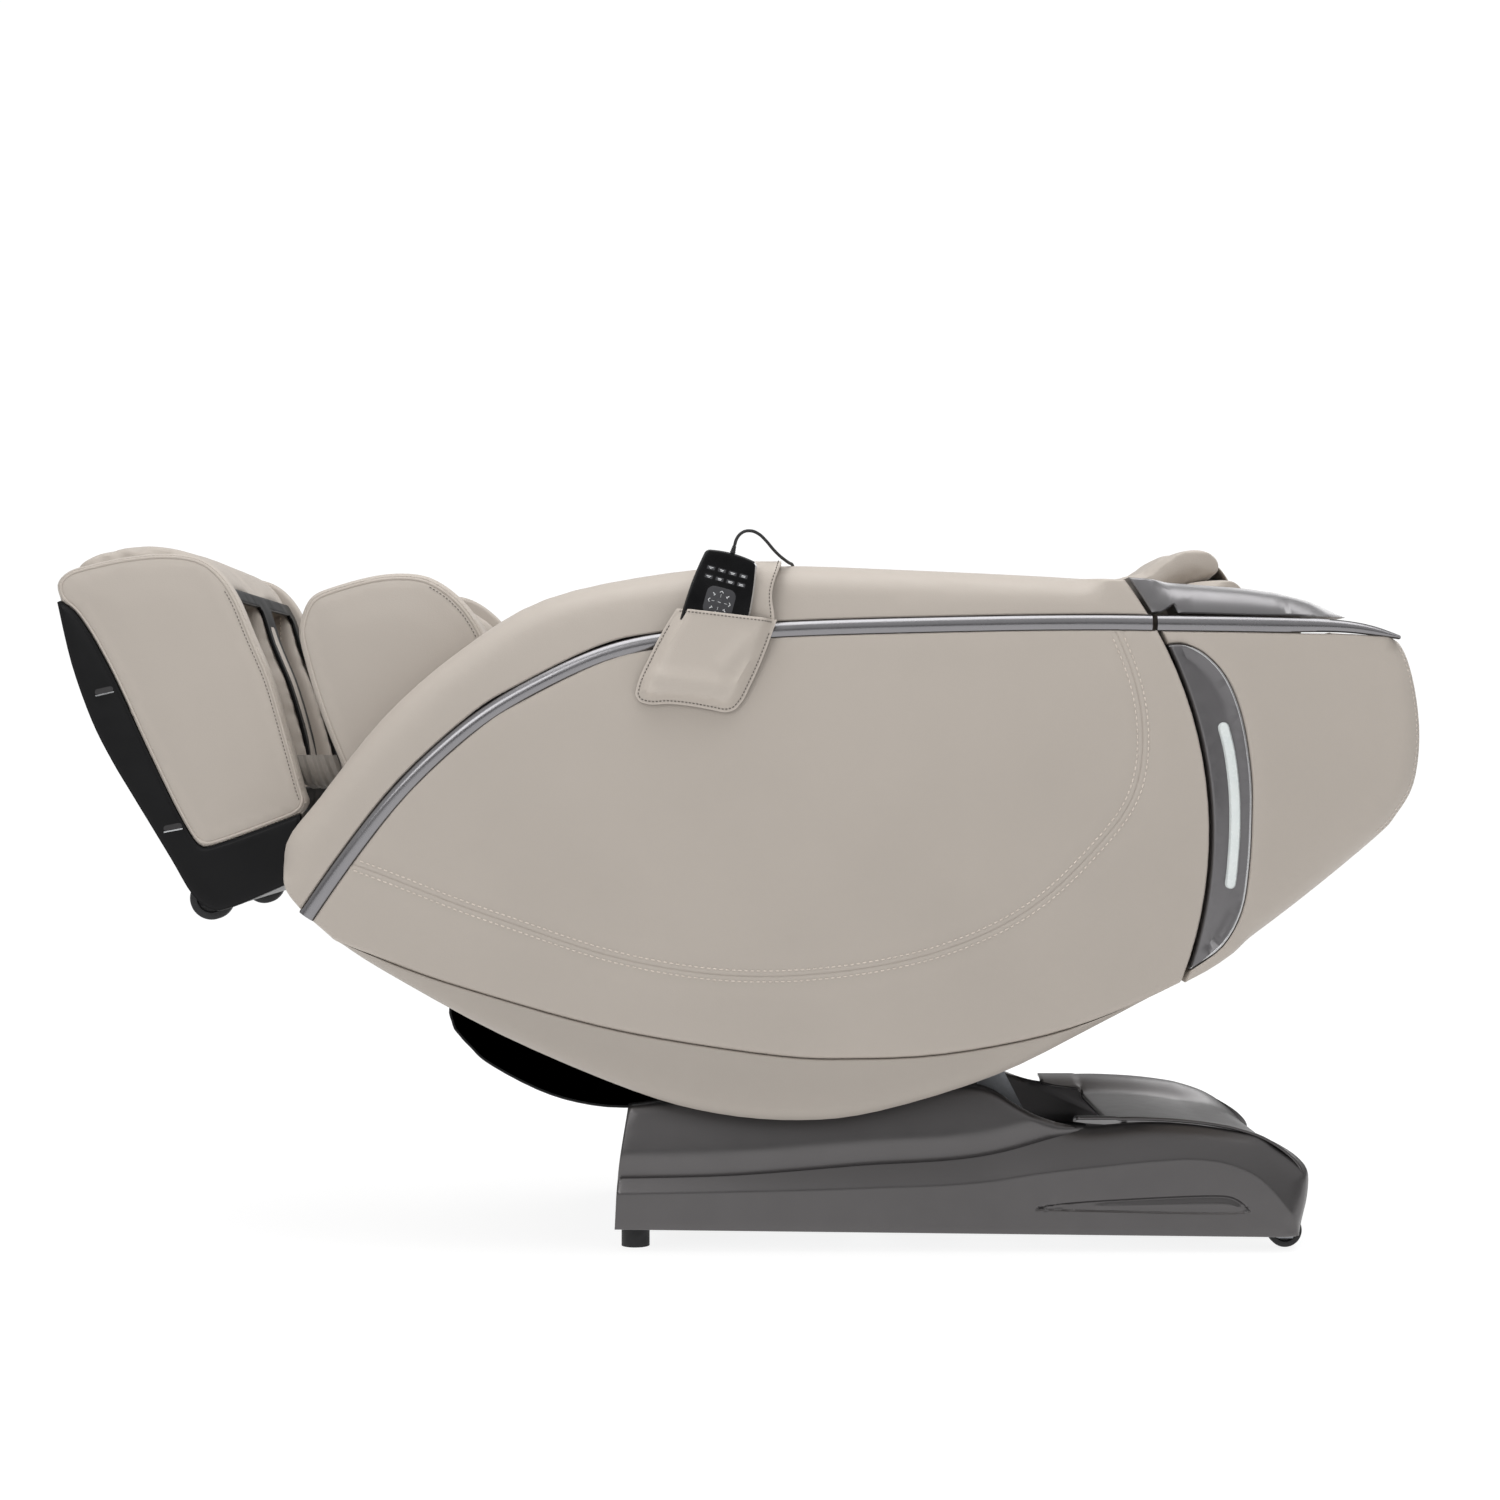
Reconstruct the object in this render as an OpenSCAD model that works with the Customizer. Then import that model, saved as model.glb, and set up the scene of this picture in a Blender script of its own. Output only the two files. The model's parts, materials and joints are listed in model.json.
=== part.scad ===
// Reclining massage chair: egg-shaped side shells on a low glide base, a backrest with a
// roller mechanism, a two-part leg rest and a corded handset in a leather pocket.
// Millimetres. X runs from the feet (-X) to the head (+X), Z is up, the floor is Z = 0.
// The chair is drawn fully reclined with the leg rest raised.

/* [Side shells] */
// Half of the overall width, at the fullest point of a side shell
shell_half_w = 400; // [396:1:404]
// Inner face of the shells, measured from the centre plane
shell_inner = 293; // [292:1:294]
// Width of the metal-look trim strip along each shell
trim_w = 21; // [16:1:24]
// Wall of the moulded side panels
panel_wall = 14; // [8:1:16]

/* [Seat and back] */
// Half width of the seat cushion
seat_half_w = 244; // [220:1:246]
// Half width of the back cushion
back_half_w = 222; // [200:1:222]
// Thickness of the back cushion
back_pad = 60; // [50:1:62]
// Slope of the backrest above the horizontal when reclined, in degrees
back_slope = 21.5; // [21:0.5:22]

/* [Leg rest] */
// Half width of the leg rest over its side panels
leg_half_w = 280; // [276:1:281]
// Slope of the calves below the horizontal when raised, in degrees
leg_slope = 26.3; // [26:0.1:26.6]
// Radius of the small wheels under the heels
leg_wheel_r = 31; // [28:1:31]

/* [Base] */
// Half width of the base over its side covers
base_half_w = 280; // [276:1:282]
// Radius of the front rubber feet
foot_r = 20; // [16:1:22]
// Radius of the rear transport wheels
rear_wheel_r = 24; // [22:1:24]

/* [Handset] */
// Width of the handset
handset_w = 74; // [70:1:75]
// Length of the handset
handset_l = 190; // [180:1:190]
// Lean of the handset in its pocket, in degrees
handset_lean = 15; // [14:0.5:16]

/* [Hidden] */
$fn = 48;

// Colours
LEATHER = "#c3bab0";
GUNMETAL = "#77767a";
BLACK = "#1c1b1c";
STEEL = "#8d9094";
RUBBER = "#202022";

// Axes of the hinges, as [x, z]
RECLINE_AXIS = [50, 588];
LEG_AXIS = [-340, 640];
TILT_AXIS = [400, 170];
running = 0.05;    // radial clearance of every running fit
recline_r = 14;
leg_shaft_r = 12;
tilt_pin_r = 8;

// ---------- curves ----------
function catmull(a, b, c, d, t) =
  0.5 * (2 * b + (c - a) * t + (2 * a - 5 * b + 4 * c - d) * t * t + (3 * b - a - 3 * c + d) * t * t * t);
function curve(p, n = 4) = let (k = len(p)) [
  for (i = [0:k - 2], j = [0:n - 1]) catmull(p[max(i - 1, 0)], p[i], p[i + 1], p[min(i + 2, k - 1)], j / n),
  p[k - 1]
];
function closed_curve(p, n = 4) = let (k = len(p)) [
  for (i = [0:k - 1], j = [0:n - 1]) catmull(p[(i + k - 1) % k], p[i], p[(i + 1) % k], p[(i + 2) % k], j / n)
];
function reversed(p) = [for (i = [len(p) - 1:-1:0]) p[i]];
function unit2(v) = v / norm(v);
function left_of(p, i) = let (d = unit2(p[min(i + 1, len(p) - 1)] - p[max(i - 1, 0)])) [-d.y, d.x];
function beside(p, w) = [for (i = [0:len(p) - 1]) p[i] + w * left_of(p, i)];
function ribbon(p, w) = concat(beside(p, w / 2), reversed(beside(p, -w / 2)));
function about(p, c, k) = [for (q = p) c + (q - c) * k];
function arc_from(c, r, a0, a1, n = 16) = [for (i = [0:n]) c + r * [cos(a0 + (a1 - a0) * i / n), sin(a0 + (a1 - a0) * i / n)]];
function box_outline(x0, x1, z0, z1) = [[x0, z0], [x1, z0], [x1, z1], [x0, z1]];

// ---------- solids from outlines in the XZ plane ----------
// Left side of the chair is -Y. slab() spans |y| from y0 to y1 on the left.
module slab(outline, y0, y1) translate([0, -y0, 0]) rotate([90, 0, 0]) linear_extrude(y1 - y0) polygon(outline);
module across(outline, half) slab(outline, -half, half);
module right_of() mirror([0, 1, 0]) children();
module both() {
  children();
  mirror([0, 1, 0]) children();
}
module rod(c, r, y0, y1) translate([c.x, -y0, c.y]) rotate([90, 0, 0]) cylinder(r = r, h = y1 - y0);
module frame_at(c, slope) translate([c.x, 0, c.y]) rotate([0, -slope, 0]) children();
// The outward swell of the side shells: a long cylinder whose top touches half_w.
swell_r = 1800;
swell_z = 650;
module swell(half_w) translate([-1100, swell_r - half_w, swell_z]) rotate([0, 90, 0]) cylinder(r = swell_r, h = 2200, $fn = 256);
module skin(outline, y0, half_w) intersection() {
  slab(outline, y0, shell_half_w + 5);
  swell(half_w);
}

// ---------- outlines of the side shells ----------
shell_arc_r = 597;     // rear edge of the side shells, round the recline axis
back_arc_r = 603;      // front edge of the backrest's outer panels
arc_top = 35.5;
arc_trim_top = 30.1;
arc_trim_bottom = 27.7;
arc_bottom = -19.8;
panel_half_w = shell_half_w - 3;
trim_line = curve([
  [-577, 477], [-515, 565], [-441, 657], [-345, 744], [-285, 781], [-177, 834], [-97, 852], [60, 867],
  [335, 875], [498, 877], [572, 876]
]);
crease_line = curve([
  [-539, 444], [-439, 404], [-366, 379], [-214, 334], [-96, 308], [65, 284], [161, 280], [288, 286],
  [431, 313], [540, 352], [611, 386]
]);
arm_edge = curve([
  [528, 935], [440, 942], [230, 952], [60, 957], [-90, 947], [-258, 910], [-377, 837], [-477, 748],
  [-565, 637], [-610, 576], [-606, 519], [-584, 487]
]);
bottom_edge = curve([
  [-539, 443], [-480, 403], [-318, 312], [-138, 233], [-22, 200], [95, 190], [203, 203], [363, 254],
  [498, 323], [611, 385]
]);
armrest_outline = concat(
  arm_edge,
  beside(trim_line, trim_w / 2 + 0.5),
  arc_from(RECLINE_AXIS, shell_arc_r, arc_trim_top, arc_top, 4)
);
panel_outline = concat(
  beside(trim_line, -trim_w / 2 - 0.5),
  arc_from(RECLINE_AXIS, shell_arc_r, arc_trim_bottom, arc_bottom + 0.6),
  reversed(beside(crease_line, 0.5))
);
skirt_outline = concat(beside(crease_line, -0.5), reversed(bottom_edge));
board_outline = about(concat(
  beside(trim_line, -trim_w),
  arc_from(RECLINE_AXIS, shell_arc_r, arc_trim_bottom, arc_bottom),
  reversed(bottom_edge)
), [0, 570], 0.985);

// ---------- side shells ----------
board_t = 11;
module shell_board() slab(board_outline, shell_inner, shell_inner + board_t);
module shell_boards() color("#3a3836") both() shell_board();
module side_panel() color(LEATHER) difference() {
  skin(panel_outline, shell_inner + board_t + 0.5, panel_half_w);
  skin(about(panel_outline, [0, 600], 0.95), shell_inner, panel_half_w - panel_wall);
}
module armrest() color(LEATHER) skin(armrest_outline, shell_inner, panel_half_w);
module lower_skirts() color(LEATHER) both() skin(skirt_outline, shell_inner + board_t + 0.5, panel_half_w);
module trim_strips() color(GUNMETAL) both() skin(ribbon(trim_line, trim_w), 345, shell_half_w);

// ---------- seat ----------
seat_outline = concat(
  [[-62, 576], [-62, 655]],
  curve([[-70, 664], [-150, 706], [-230, 752], [-290, 786], [-325, 797], [-348, 786], [-352, 762], [-334, 738]], 3)
);
module seat_cushion() color(LEATHER) across(seat_outline, seat_half_w);
plate_out = shell_inner - 1;
plate_in = plate_out - 9;
module seat_frame() color(STEEL) {
  // side plates against the shells, from the leg hinge to the lower cross tube
  both() difference() {
    slab([[-368, 628], [-364, 660], [-345, 674], [-240, 664], [-60, 575], [40, 622], [95, 600], [200, 470],
      [365, 330], [355, 275], [300, 265], [60, 400], [-150, 430], [-285, 520]], plate_in, plate_out);
    rod(RECLINE_AXIS, recline_r, plate_in - 1, plate_out + 1);
    rod(LEG_AXIS, leg_shaft_r, plate_in - 1, plate_out + 1);
  }
  // shelf for the pump and the control box, hung from the middle tube
  across(box_outline(-252, 95, 292, 298), 156);
  both() slab([[-140, 470], [-100, 470], [-60, 297], [-180, 297]], 150, 156);
  // seat pan
  across(ribbon([[-66, 566], [-200, 634], [-311, 715]], 6), seat_half_w);
  // cross tubes
  both() {
    rod([-262, 590], 14, -0.1, plate_in);
    rod([-120, 470], 14, -0.1, plate_in);
    rod([330, 300], 15, -0.1, plate_in);
    // struts that carry the pan
    slab([[-262, 590], [-120, 470], [-100, 480], [-180, 618], [-250, 660], [-275, 640]], 200, 210);
    // lugs on the tilt pin
    difference() {
      slab([[382, 156], [418, 156], [421, 184], [352, 318], [308, 300], [380, 184]], 138, 148);
      rod(TILT_AXIS, tilt_pin_r + running, 137, 149);
    }
  }
}
module hinge_shafts() color(STEEL) {
  rod(RECLINE_AXIS, recline_r, -plate_out, plate_out);
  rod(LEG_AXIS, leg_shaft_r, -plate_out, plate_out);
}
motor_r = 22;
recline_motor = [-110, 530];
leg_motor = [-300, 604];
// Worm gearmotors that turn the backrest and the leg rest, one each side
module hinge_gearmotors() color("#3d3e42") both() {
  difference() {
    slab([[24, 560], [24, 612], [76, 612], [86, 588], [70, 512], [10, 508]], 246, 281);
    rod(RECLINE_AXIS, recline_r, 245, 282);
  }
  translate([recline_motor.x, -263, recline_motor.y]) rotate([0, 90, 0]) cylinder(r = 17, h = 125);
  difference() {
    slab([[-368, 622], [-368, 656], [-350, 672], [-322, 664], [-276, 616], [-290, 582], [-306, 580]], 60, 86);
    rod(LEG_AXIS, leg_shaft_r, 59, 87);
    rod([-262, 590], 14, 59, 87);
  }
  rod(leg_motor, motor_r, 85.9, 190);
}
module arm_airbags() color(LEATHER) both()
  slab(closed_curve([[-225, 730], [-235, 800], [-215, 885], [-150, 905], [60, 912], [130, 900], [150, 850],
    [140, 770], [100, 735], [-60, 720], [-150, 712]], 3), 250, 291);
belly_line = curve([
  [-352, 540], [-376, 430], [-398, 330], [-366, 281], [-337, 257], [-274, 224], [-217, 206], [-153, 199],
  [-60, 206], [40, 224], [150, 250], [270, 283]
], 3);
module belly_cover() color(BLACK) across(ribbon(belly_line, 6), 235);
module air_pump_box() color("#2b2b2e") {
  across(box_outline(-250, -60, 298, 400), 140);
  across(box_outline(-50, 90, 298, 350), 110);
}

// ---------- handset, its pocket and cord ----------
pocket_in = shell_half_w - 2.6;   // back of the pocket's back sheet
sheet_t = 2;
handset_y0 = pocket_in + sheet_t + 0.6;
handset_t = 16;
pocket_out = handset_y0 + handset_t + 1.4;
pocket_front_outline = concat(
  [[-79, 888], [62, 879]],
  curve([[59, 866], [40, 818], [17, 768], [8, 757], [-10, 753], [-60, 757], [-115, 763], [-128, 771], [-130, 785],
    [-110, 830], [-93, 863]], 3)
);
pocket_side_line = curve([[59, 876], [38, 818], [15, 770], [7, 760], [-10, 756], [-60, 760], [-114, 766],
  [-125, 773], [-127, 785], [-107, 830], [-82, 880]], 3);
pocket_back_outline = concat(
  [[-76, 960], [67, 960], [58, 936], [56, 912]],
  [for (p = pocket_front_outline) if (p.y < 880) p]
);
module handset_pocket() color(LEATHER) {
  slab(pocket_back_outline, pocket_in, pocket_in + sheet_t);
  slab(ribbon(pocket_side_line, sheet_t), pocket_in + sheet_t - 0.1, pocket_out + 0.1);
  slab(pocket_front_outline, pocket_out, pocket_out + sheet_t);
  // strap over the armrest
  slab(box_outline(-76, 67, 958, 960), 300, pocket_in + 0.1);
}
handset_foot = [-48, 782];
// Inside handset_at(), x runs across the handset, z along it and y towards the chair.
module handset_at() translate([handset_foot.x, 0, handset_foot.y]) rotate([0, handset_lean, 0]) children();
module face_block(x, z, w, h, y0, y1) slab(box_outline(x - w / 2, x + w / 2, z - h / 2, z + h / 2), y0, y1);
handset_face = handset_y0 + handset_t;
key_travel = 1;
key_w = 11;
key_h = 5;
key_gap = 0.3;
key_rows = [handset_l - 24, handset_l - 36];
nav_z = handset_l - 66;
nav_w = 40;
module keys(grow, y0, y1) for (z = key_rows, i = [-1.5:1.5]) face_block(i * 15, z, key_w + grow, key_h + grow, y0, y1);
function rounded(w, z0, z1, r) = concat(
  arc_from([w / 2 - r, z0 + r], r, -90, 0, 4), arc_from([w / 2 - r, z1 - r], r, 0, 90, 4),
  arc_from([-w / 2 + r, z1 - r], r, 90, 180, 4), arc_from([-w / 2 + r, z0 + r], r, 180, 270, 4)
);
module handset_body() color(BLACK) handset_at() difference() {
  slab(rounded(handset_w, 0, handset_l, 9), handset_y0, handset_face);
  keys(2 * key_gap, handset_face - 4, handset_face + 1);
  slab(rounded(nav_w + 2 * key_gap, nav_z - nav_w / 2 - key_gap, nav_z + nav_w / 2 + key_gap, 10),
    handset_face - 4, handset_face + 1);
}
module handset_keypad() color("#2e2d30") handset_at() keys(0, handset_face - 2.8, handset_face + 0.6);
module handset_nav_pad() color("#38373b") handset_at()
  slab(rounded(nav_w, nav_z - nav_w / 2, nav_z + nav_w / 2, 10), handset_face - 2.8, handset_face + 0.6);
cord_d = 4.4;
relief_l = 14;
relief_y = handset_y0 + handset_t / 2;
module handset_strain_relief() color(RUBBER) handset_at()
  translate([0, -relief_y, handset_l]) cylinder(r1 = 4.6, r2 = cord_d / 2 + 0.4, h = relief_l, $fn = 32);
gland_at = [150, 930];
module cord_gland() color(RUBBER) {
  rod(gland_at, 8, shell_inner - 8, shell_inner);
}

// Route of the handset cord, chosen by hand: over the armrest, down its inner face in a slack
// loop and up to the gland. Its first point is just above the tip of the strain relief.
cord_gap = 0.4;
relief_tip = [handset_foot.x + (handset_l + relief_l + cord_gap) * sin(handset_lean), -relief_y,
  handset_foot.y + (handset_l + relief_l + cord_gap) * cos(handset_lean)];
cord_route = [
  relief_tip, relief_tip + [2, 0, 7], [11, -407, 993], [18, -404, 998], [28, -400, 999], [38, -394, 995],
  [48, -387, 986], [57, -378, 976], [66, -366, 968], [74, -350, 963], [79, -332, 961], [82, -314, 961],
  [84, -298, 961], [86, -286, 957], [87, -276, 949], [88, -266, 939], [89, -256, 928], [90, -248, 914],
  [91, -245.6, 895], [92, -245.6, 860], [93, -245.6, 820], [96, -245.6, 790], [102, -245.6, 765],
  [114, -245.6, 750], [129, -245.6, 752], [138, -245.6, 768], [143, -245.6, 795], [146, -245.6, 830],
  [148, -245.6, 865], [149, -248, 892], [150, -256, 913], [150, -268, 926], [150, -285, 930]
];
function cross3(a, b) = [a.y * b.z - a.z * b.y, a.z * b.x - a.x * b.z, a.x * b.y - a.y * b.x];
function unit3(v) = v / norm(v);
// Frames along the tube turn no more than the route does, carried from ring to ring.
function carried(side, along) = unit3(side - along * (side * along));
function along_at(p, i) = unit3(p[min(i + 1, len(p) - 1)] - p[max(i - 1, 0)]);
function sides(p) = [
  for (i = 0, s = carried([0, 1, 0], along_at(p, 0)); i < len(p);
    i = i + 1, s = i < len(p) ? carried(s, along_at(p, i)) : s) s
];
module tube_along(p, r, n = 8) {
  s = sides(p);
  last = len(p) - 1;
  points = [for (i = [0:last], k = [0:n - 1]) let (a = 360 * k / n, up = cross3(along_at(p, i), s[i]))
    p[i] + r * (cos(a) * s[i] + sin(a) * up)];
  walls = [for (i = [0:last - 1], k = [0:n - 1]) let (a = i * n + k, b = i * n + (k + 1) % n)
    each [[a, b, b + n], [a, b + n, a + n]]];
  polyhedron(concat(points, [p[0], p[last]]), concat(
    walls,
    [for (k = [0:n - 1]) [len(points), (k + 1) % n, k]],
    [for (k = [0:n - 1]) [len(points) + 1, last * n + k, last * n + (k + 1) % n]]
  ));
}
module handset_cord() color(RUBBER) tube_along(curve(cord_route, 2), cord_d / 2);

// ---------- backrest ----------
back_panel_edge = curve([
  [898, 857], [921, 842], [936, 790], [942, 720], [933, 655], [909, 613], [882, 583], [773, 492], [664, 410],
  [619, 386]
]);
insert_line = curve([
  [594, 846], [617, 846], [645, 832], [673, 799], [693, 745], [704, 672], [705, 612], [702, 545], [693, 485],
  [668, 437], [625, 404]
]);
back_trim_line = curve([[579, 876], [700, 874.5], [840, 871], [878, 869]]);
back_panel_outline = concat(
  arc_from(RECLINE_AXIS, back_arc_r, arc_bottom + 0.6, -18.6, 3),
  reversed(beside(insert_line, 1)),
  arc_from(RECLINE_AXIS, back_arc_r, 26.2, arc_trim_bottom - 0.4, 3),
  [[700, 863], [850, 860]],
  back_panel_edge
);
insert_outline = concat(arc_from(RECLINE_AXIS, back_arc_r, -17.6, 25.3), insert_line);
cover_outline = concat(
  arc_from(RECLINE_AXIS, back_arc_r, arc_trim_top, arc_top, 4),
  curve([[610, 934], [664, 930], [719, 925], [773, 915], [812, 901], [840, 884]], 4),
  [[700, 886.5]]
);
insert_half_w = panel_half_w - 7;
module back_side_panel() color(LEATHER) difference() {
  skin(back_panel_outline, shell_inner, panel_half_w);
  skin(about(back_panel_outline, [770, 640], 0.86), shell_inner - 1, panel_half_w - panel_wall);
}
module shoulder_covers() color(GUNMETAL) both() skin(cover_outline, shell_inner, panel_half_w + 1);
module back_trim_strips() color(GUNMETAL) both() skin(ribbon(back_trim_line, trim_w), 345, shell_half_w);
module light_trims() color("#5f5c60") both() skin(insert_outline, 350, insert_half_w);
lens_line = curve([[667, 737], [676, 699], [682, 647], [683, 594], [680, 543], [677, 516]]);
module light_lenses() color("#dfe5e3") both() difference() {
  skin(ribbon(lens_line, 15), 370, insert_half_w + 3);
  skin(ribbon(lens_line, 16), 360, insert_half_w);
}
// Rear cover of the backrest, a wall along the arc and round the back
back_shell_line = concat(
  arc_from(RECLINE_AXIS, 592, 8, -17.5, 6),
  curve([[622, 402], [664, 424], [773, 505], [877, 592], [903, 622], [922, 660], [929, 720], [921, 790],
    [905, 838], [880, 856], [834, 862]])
);
module back_shell() color(LEATHER) difference() {
  across(ribbon(back_shell_line, 10), shell_inner - 2);
  // only the part behind the arc may be as wide as the shells' gap
  both() slab(arc_from(RECLINE_AXIS, 601, -40, 40), 281, 300);
}
rail_y0 = 226;
rail_y1 = 241;
hub_r = 30;
module in_back() frame_at(RECLINE_AXIS, back_slope) children();
screw_r = 8;
module back_frame() color(STEEL) in_back() {
  both() {
    difference() {
      union() {
        slab(box_outline(0, 745, -38, 2), rail_y0, rail_y1);
        rod([0, 0], hub_r, rail_y0, rail_y1);
      }
      rod([0, 0], recline_r + running, rail_y0 - 1, rail_y1 + 1);
    }
    for (a = [95, 728]) slab(box_outline(a - 14, a + 14, -34, -8), -0.1, rail_y0 + 1);
    // stays that hold the side panels behind the arc
    slab([[600, -34], [640, -34], [640, -150], [600, -150]], rail_y1, plate_out);
  }
  // lead screw between the cross tubes
  translate([100, 0, -55]) rotate([0, 90, 0]) cylinder(r = screw_r, h = 622);
  both() for (a = [95, 728]) slab(box_outline(a - 12, a + 12, -66, -33), -0.1, 14);
}
module back_cushion() color(LEATHER) in_back() across(concat(
  [[-40, 40], [-44, 48], [-44, 92], [-38, 40 + back_pad]],
  [[740, 40 + back_pad], [758, 90], [766, 66], [758, 40]]
), back_half_w);
shoulder_outline = closed_curve([[430, 745], [440, 850], [480, 905], [560, 930], [660, 930], [740, 918],
  [800, 890], [790, 850], [700, 830], [560, 775]], 3);
module shoulder_pads() color(LEATHER) both() difference() {
  slab(shoulder_outline, back_half_w + 2, 281);
  in_back() slab(box_outline(300, 800, -60, 24), rail_y0 - 4, rail_y1 + 4);
}
pillow_hinge = [756, 106];
module headrest_pillow() color(LEATHER) in_back() across(concat(
  [[750, 103], [582, 103]],
  curve([[568, 114], [570, 134], [598, 150], [642, 140], [692, 154], [730, 150], [751, 130], [752, 112]], 3)
), 165);

carriage_a = 380;
knead_b = -2;
module massage_carriage() color("#4a4b4f") in_back() {
  across(box_outline(carriage_a - 55, carriage_a + 55, -42, -34), rail_y0 - 4);
  both() difference() {
    slab(box_outline(carriage_a - 22, carriage_a + 22, -35, knead_b + 14), 100, 112);
    rod([carriage_a, knead_b], screw_r + running, 99, 113);
  }
  difference() {
    across(box_outline(carriage_a - 30, carriage_a + 30, -68, -41), 16);
    translate([carriage_a - 31, 0, -55]) rotate([0, 90, 0]) cylinder(r = screw_r + running, h = 62);
  }
}
module massage_rollers() color("#d9d6cf") in_back() {
  rod([carriage_a, knead_b], screw_r, -114, 114);
  both() for (y = [52, 82]) {
    slab(box_outline(carriage_a - 34, carriage_a + 34, knead_b - 6, knead_b + 6), y - 16, y - 10);
    for (a = [-34, 34]) rod([carriage_a + a, knead_b + 6], 18, y - 11, y + 8);
  }
}

// ---------- leg rest: calf unit ----------
leg_panel_in = leg_half_w - 30;
calf_outline = closed_curve([
  [-604, 884], [-590, 916], [-560, 931], [-500, 947], [-452, 950], [-415, 941], [-377, 912], [-349, 872],
  [-318, 800], [-302, 720], [-300, 650], [-312, 612], [-350, 592], [-400, 590], [-470, 598], [-516, 622],
  [-548, 686], [-579, 765], [-604, 852]
], 3);
module calf_side() color(LEATHER) difference() {
  slab(calf_outline, leg_panel_in, leg_half_w);
  rod(LEG_AXIS, leg_shaft_r + 1.5, leg_panel_in - 1, leg_half_w + 1);
}
module in_leg() frame_at(LEG_AXIS, leg_slope) children();
// Inside in_leg(), -x runs along the calves to the feet.
slide_b = 45;
slide_y = 120;
slide_r = 9;
module calf_frame() color(BLACK) {
  both() {
    difference() {
      union() {
        slab([[-362, 628], [-318, 628], [-318, 652], [-350, 664], [-470, 640], [-520, 660], [-532, 640],
          [-500, 604], [-400, 596]], leg_panel_in - 8, leg_panel_in - 1);
        rod(LEG_AXIS, 22, leg_panel_in - 8, leg_panel_in - 1);
      }
      rod(LEG_AXIS, leg_shaft_r + running, leg_panel_in - 9, leg_panel_in);
    }
    // guide tubes of the foot extension
    in_leg() difference() {
      translate([-185, -slide_y, slide_b]) rotate([0, 90, 0]) cylinder(r = 14, h = 110);
      translate([-186, -slide_y, slide_b]) rotate([0, 90, 0]) cylinder(r = slide_r + running, h = 112);
    }
  }
  // under-tray, joined to the arms and guide tubes
  difference() {
    across(ribbon(curve([[-514, 634], [-480, 606], [-430, 600], [-380, 602]], 3), 6), leg_panel_in - 2);
    both() in_leg() translate([-186, -slide_y, slide_b]) rotate([0, 90, 0]) cylinder(r = slide_r + 1, h = 112);
  }
  both() in_leg() slab(box_outline(-125, -80, -8, slide_b - 10), slide_y - 10, slide_y + 10);
}
calf_pad_outline = concat(
  [[-364, 672], [-362, 880]],
  curve([[-380, 906], [-420, 932], [-455, 940], [-500, 936], [-560, 920], [-585, 905], [-596, 870]], 3),
  [[-573, 770], [-545, 690], [-505, 672]]
);
channel_y0 = 42;
channel_y1 = 208;
module calf_pad() color(LEATHER) difference() {
  across(calf_pad_outline, leg_panel_in - 1);
  both() slab([[-300, 800], [-420, 776], [-700, 640], [-700, 1100], [-300, 1100]], channel_y0, channel_y1);
}

// ---------- leg rest: foot unit ----------
sole_line = curve([
  [-944, 910], [-924, 824], [-896, 745], [-868, 689], [-840, 642], [-812, 596], [-783, 548], [-755, 501],
  [-728, 480], [-700, 483], [-635, 510], [-604, 524]
]);
foot_inner_line = curve([
  [-940, 911], [-921, 897], [-902, 871], [-883, 838], [-860, 793], [-820, 706], [-782, 627], [-757, 582],
  [-744, 568], [-728, 568], [-670, 588], [-604, 613]
]);
foot_edge = curve([
  [-602, 616], [-594, 630], [-600, 650], [-621, 725], [-643, 800], [-670, 864], [-692, 916], [-715, 950],
  [-744, 971], [-782, 978], [-820, 977], [-857, 972], [-894, 964], [-928, 954], [-945, 936], [-940, 912]
]);
foot_panel_outline = concat(foot_edge, foot_inner_line);
wheel_centre = [-742, 492];
wheel_y0 = 190;
wheel_y1 = 210;
module foot_shell() color(BLACK) difference() {
  union() {
    across(ribbon(beside(sole_line, 6), 10), leg_half_w - 6);
    both() slab(concat(sole_line, reversed(beside(foot_inner_line, 1))), leg_half_w - 14, leg_half_w - 4);
    // axle and cheeks of the heel wheels
    both() {
      rod(wheel_centre, 5, wheel_y0 - 12, wheel_y1 + 12);
      for (y = [wheel_y0 - 12, wheel_y1 + 4]) slab(box_outline(-756, -722, 482, 530), y, y + 8);
    }
    // cross web that carries the extension rods, and the rods
    both() in_leg() {
      slab(box_outline(-300, -290, 22, 75), slide_y - 20, slide_y + 20);
      translate([-292, -slide_y, slide_b]) rotate([0, 90, 0]) cylinder(r = slide_r, h = 212);
      slab(box_outline(-400, -298, 22, 34), slide_y - 20, slide_y + 20);
    }
  }
  both() {
    slab(foot_panel_outline, leg_panel_in - 3, leg_half_w);
    difference() {
      rod(wheel_centre, leg_wheel_r + 3, wheel_y0 - 3, wheel_y1 + 3);
      rod(wheel_centre, 5, wheel_y0 - 4, wheel_y1 + 4);
    }
  }
}
module leg_wheel() color(RUBBER) difference() {
  rod(wheel_centre, leg_wheel_r, wheel_y0, wheel_y1);
  rod(wheel_centre, 5 + running, wheel_y0 - 1, wheel_y1 + 1);
}
module foot_side() color(LEATHER) slab(foot_panel_outline, leg_panel_in - 2, leg_half_w - 3);
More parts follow.
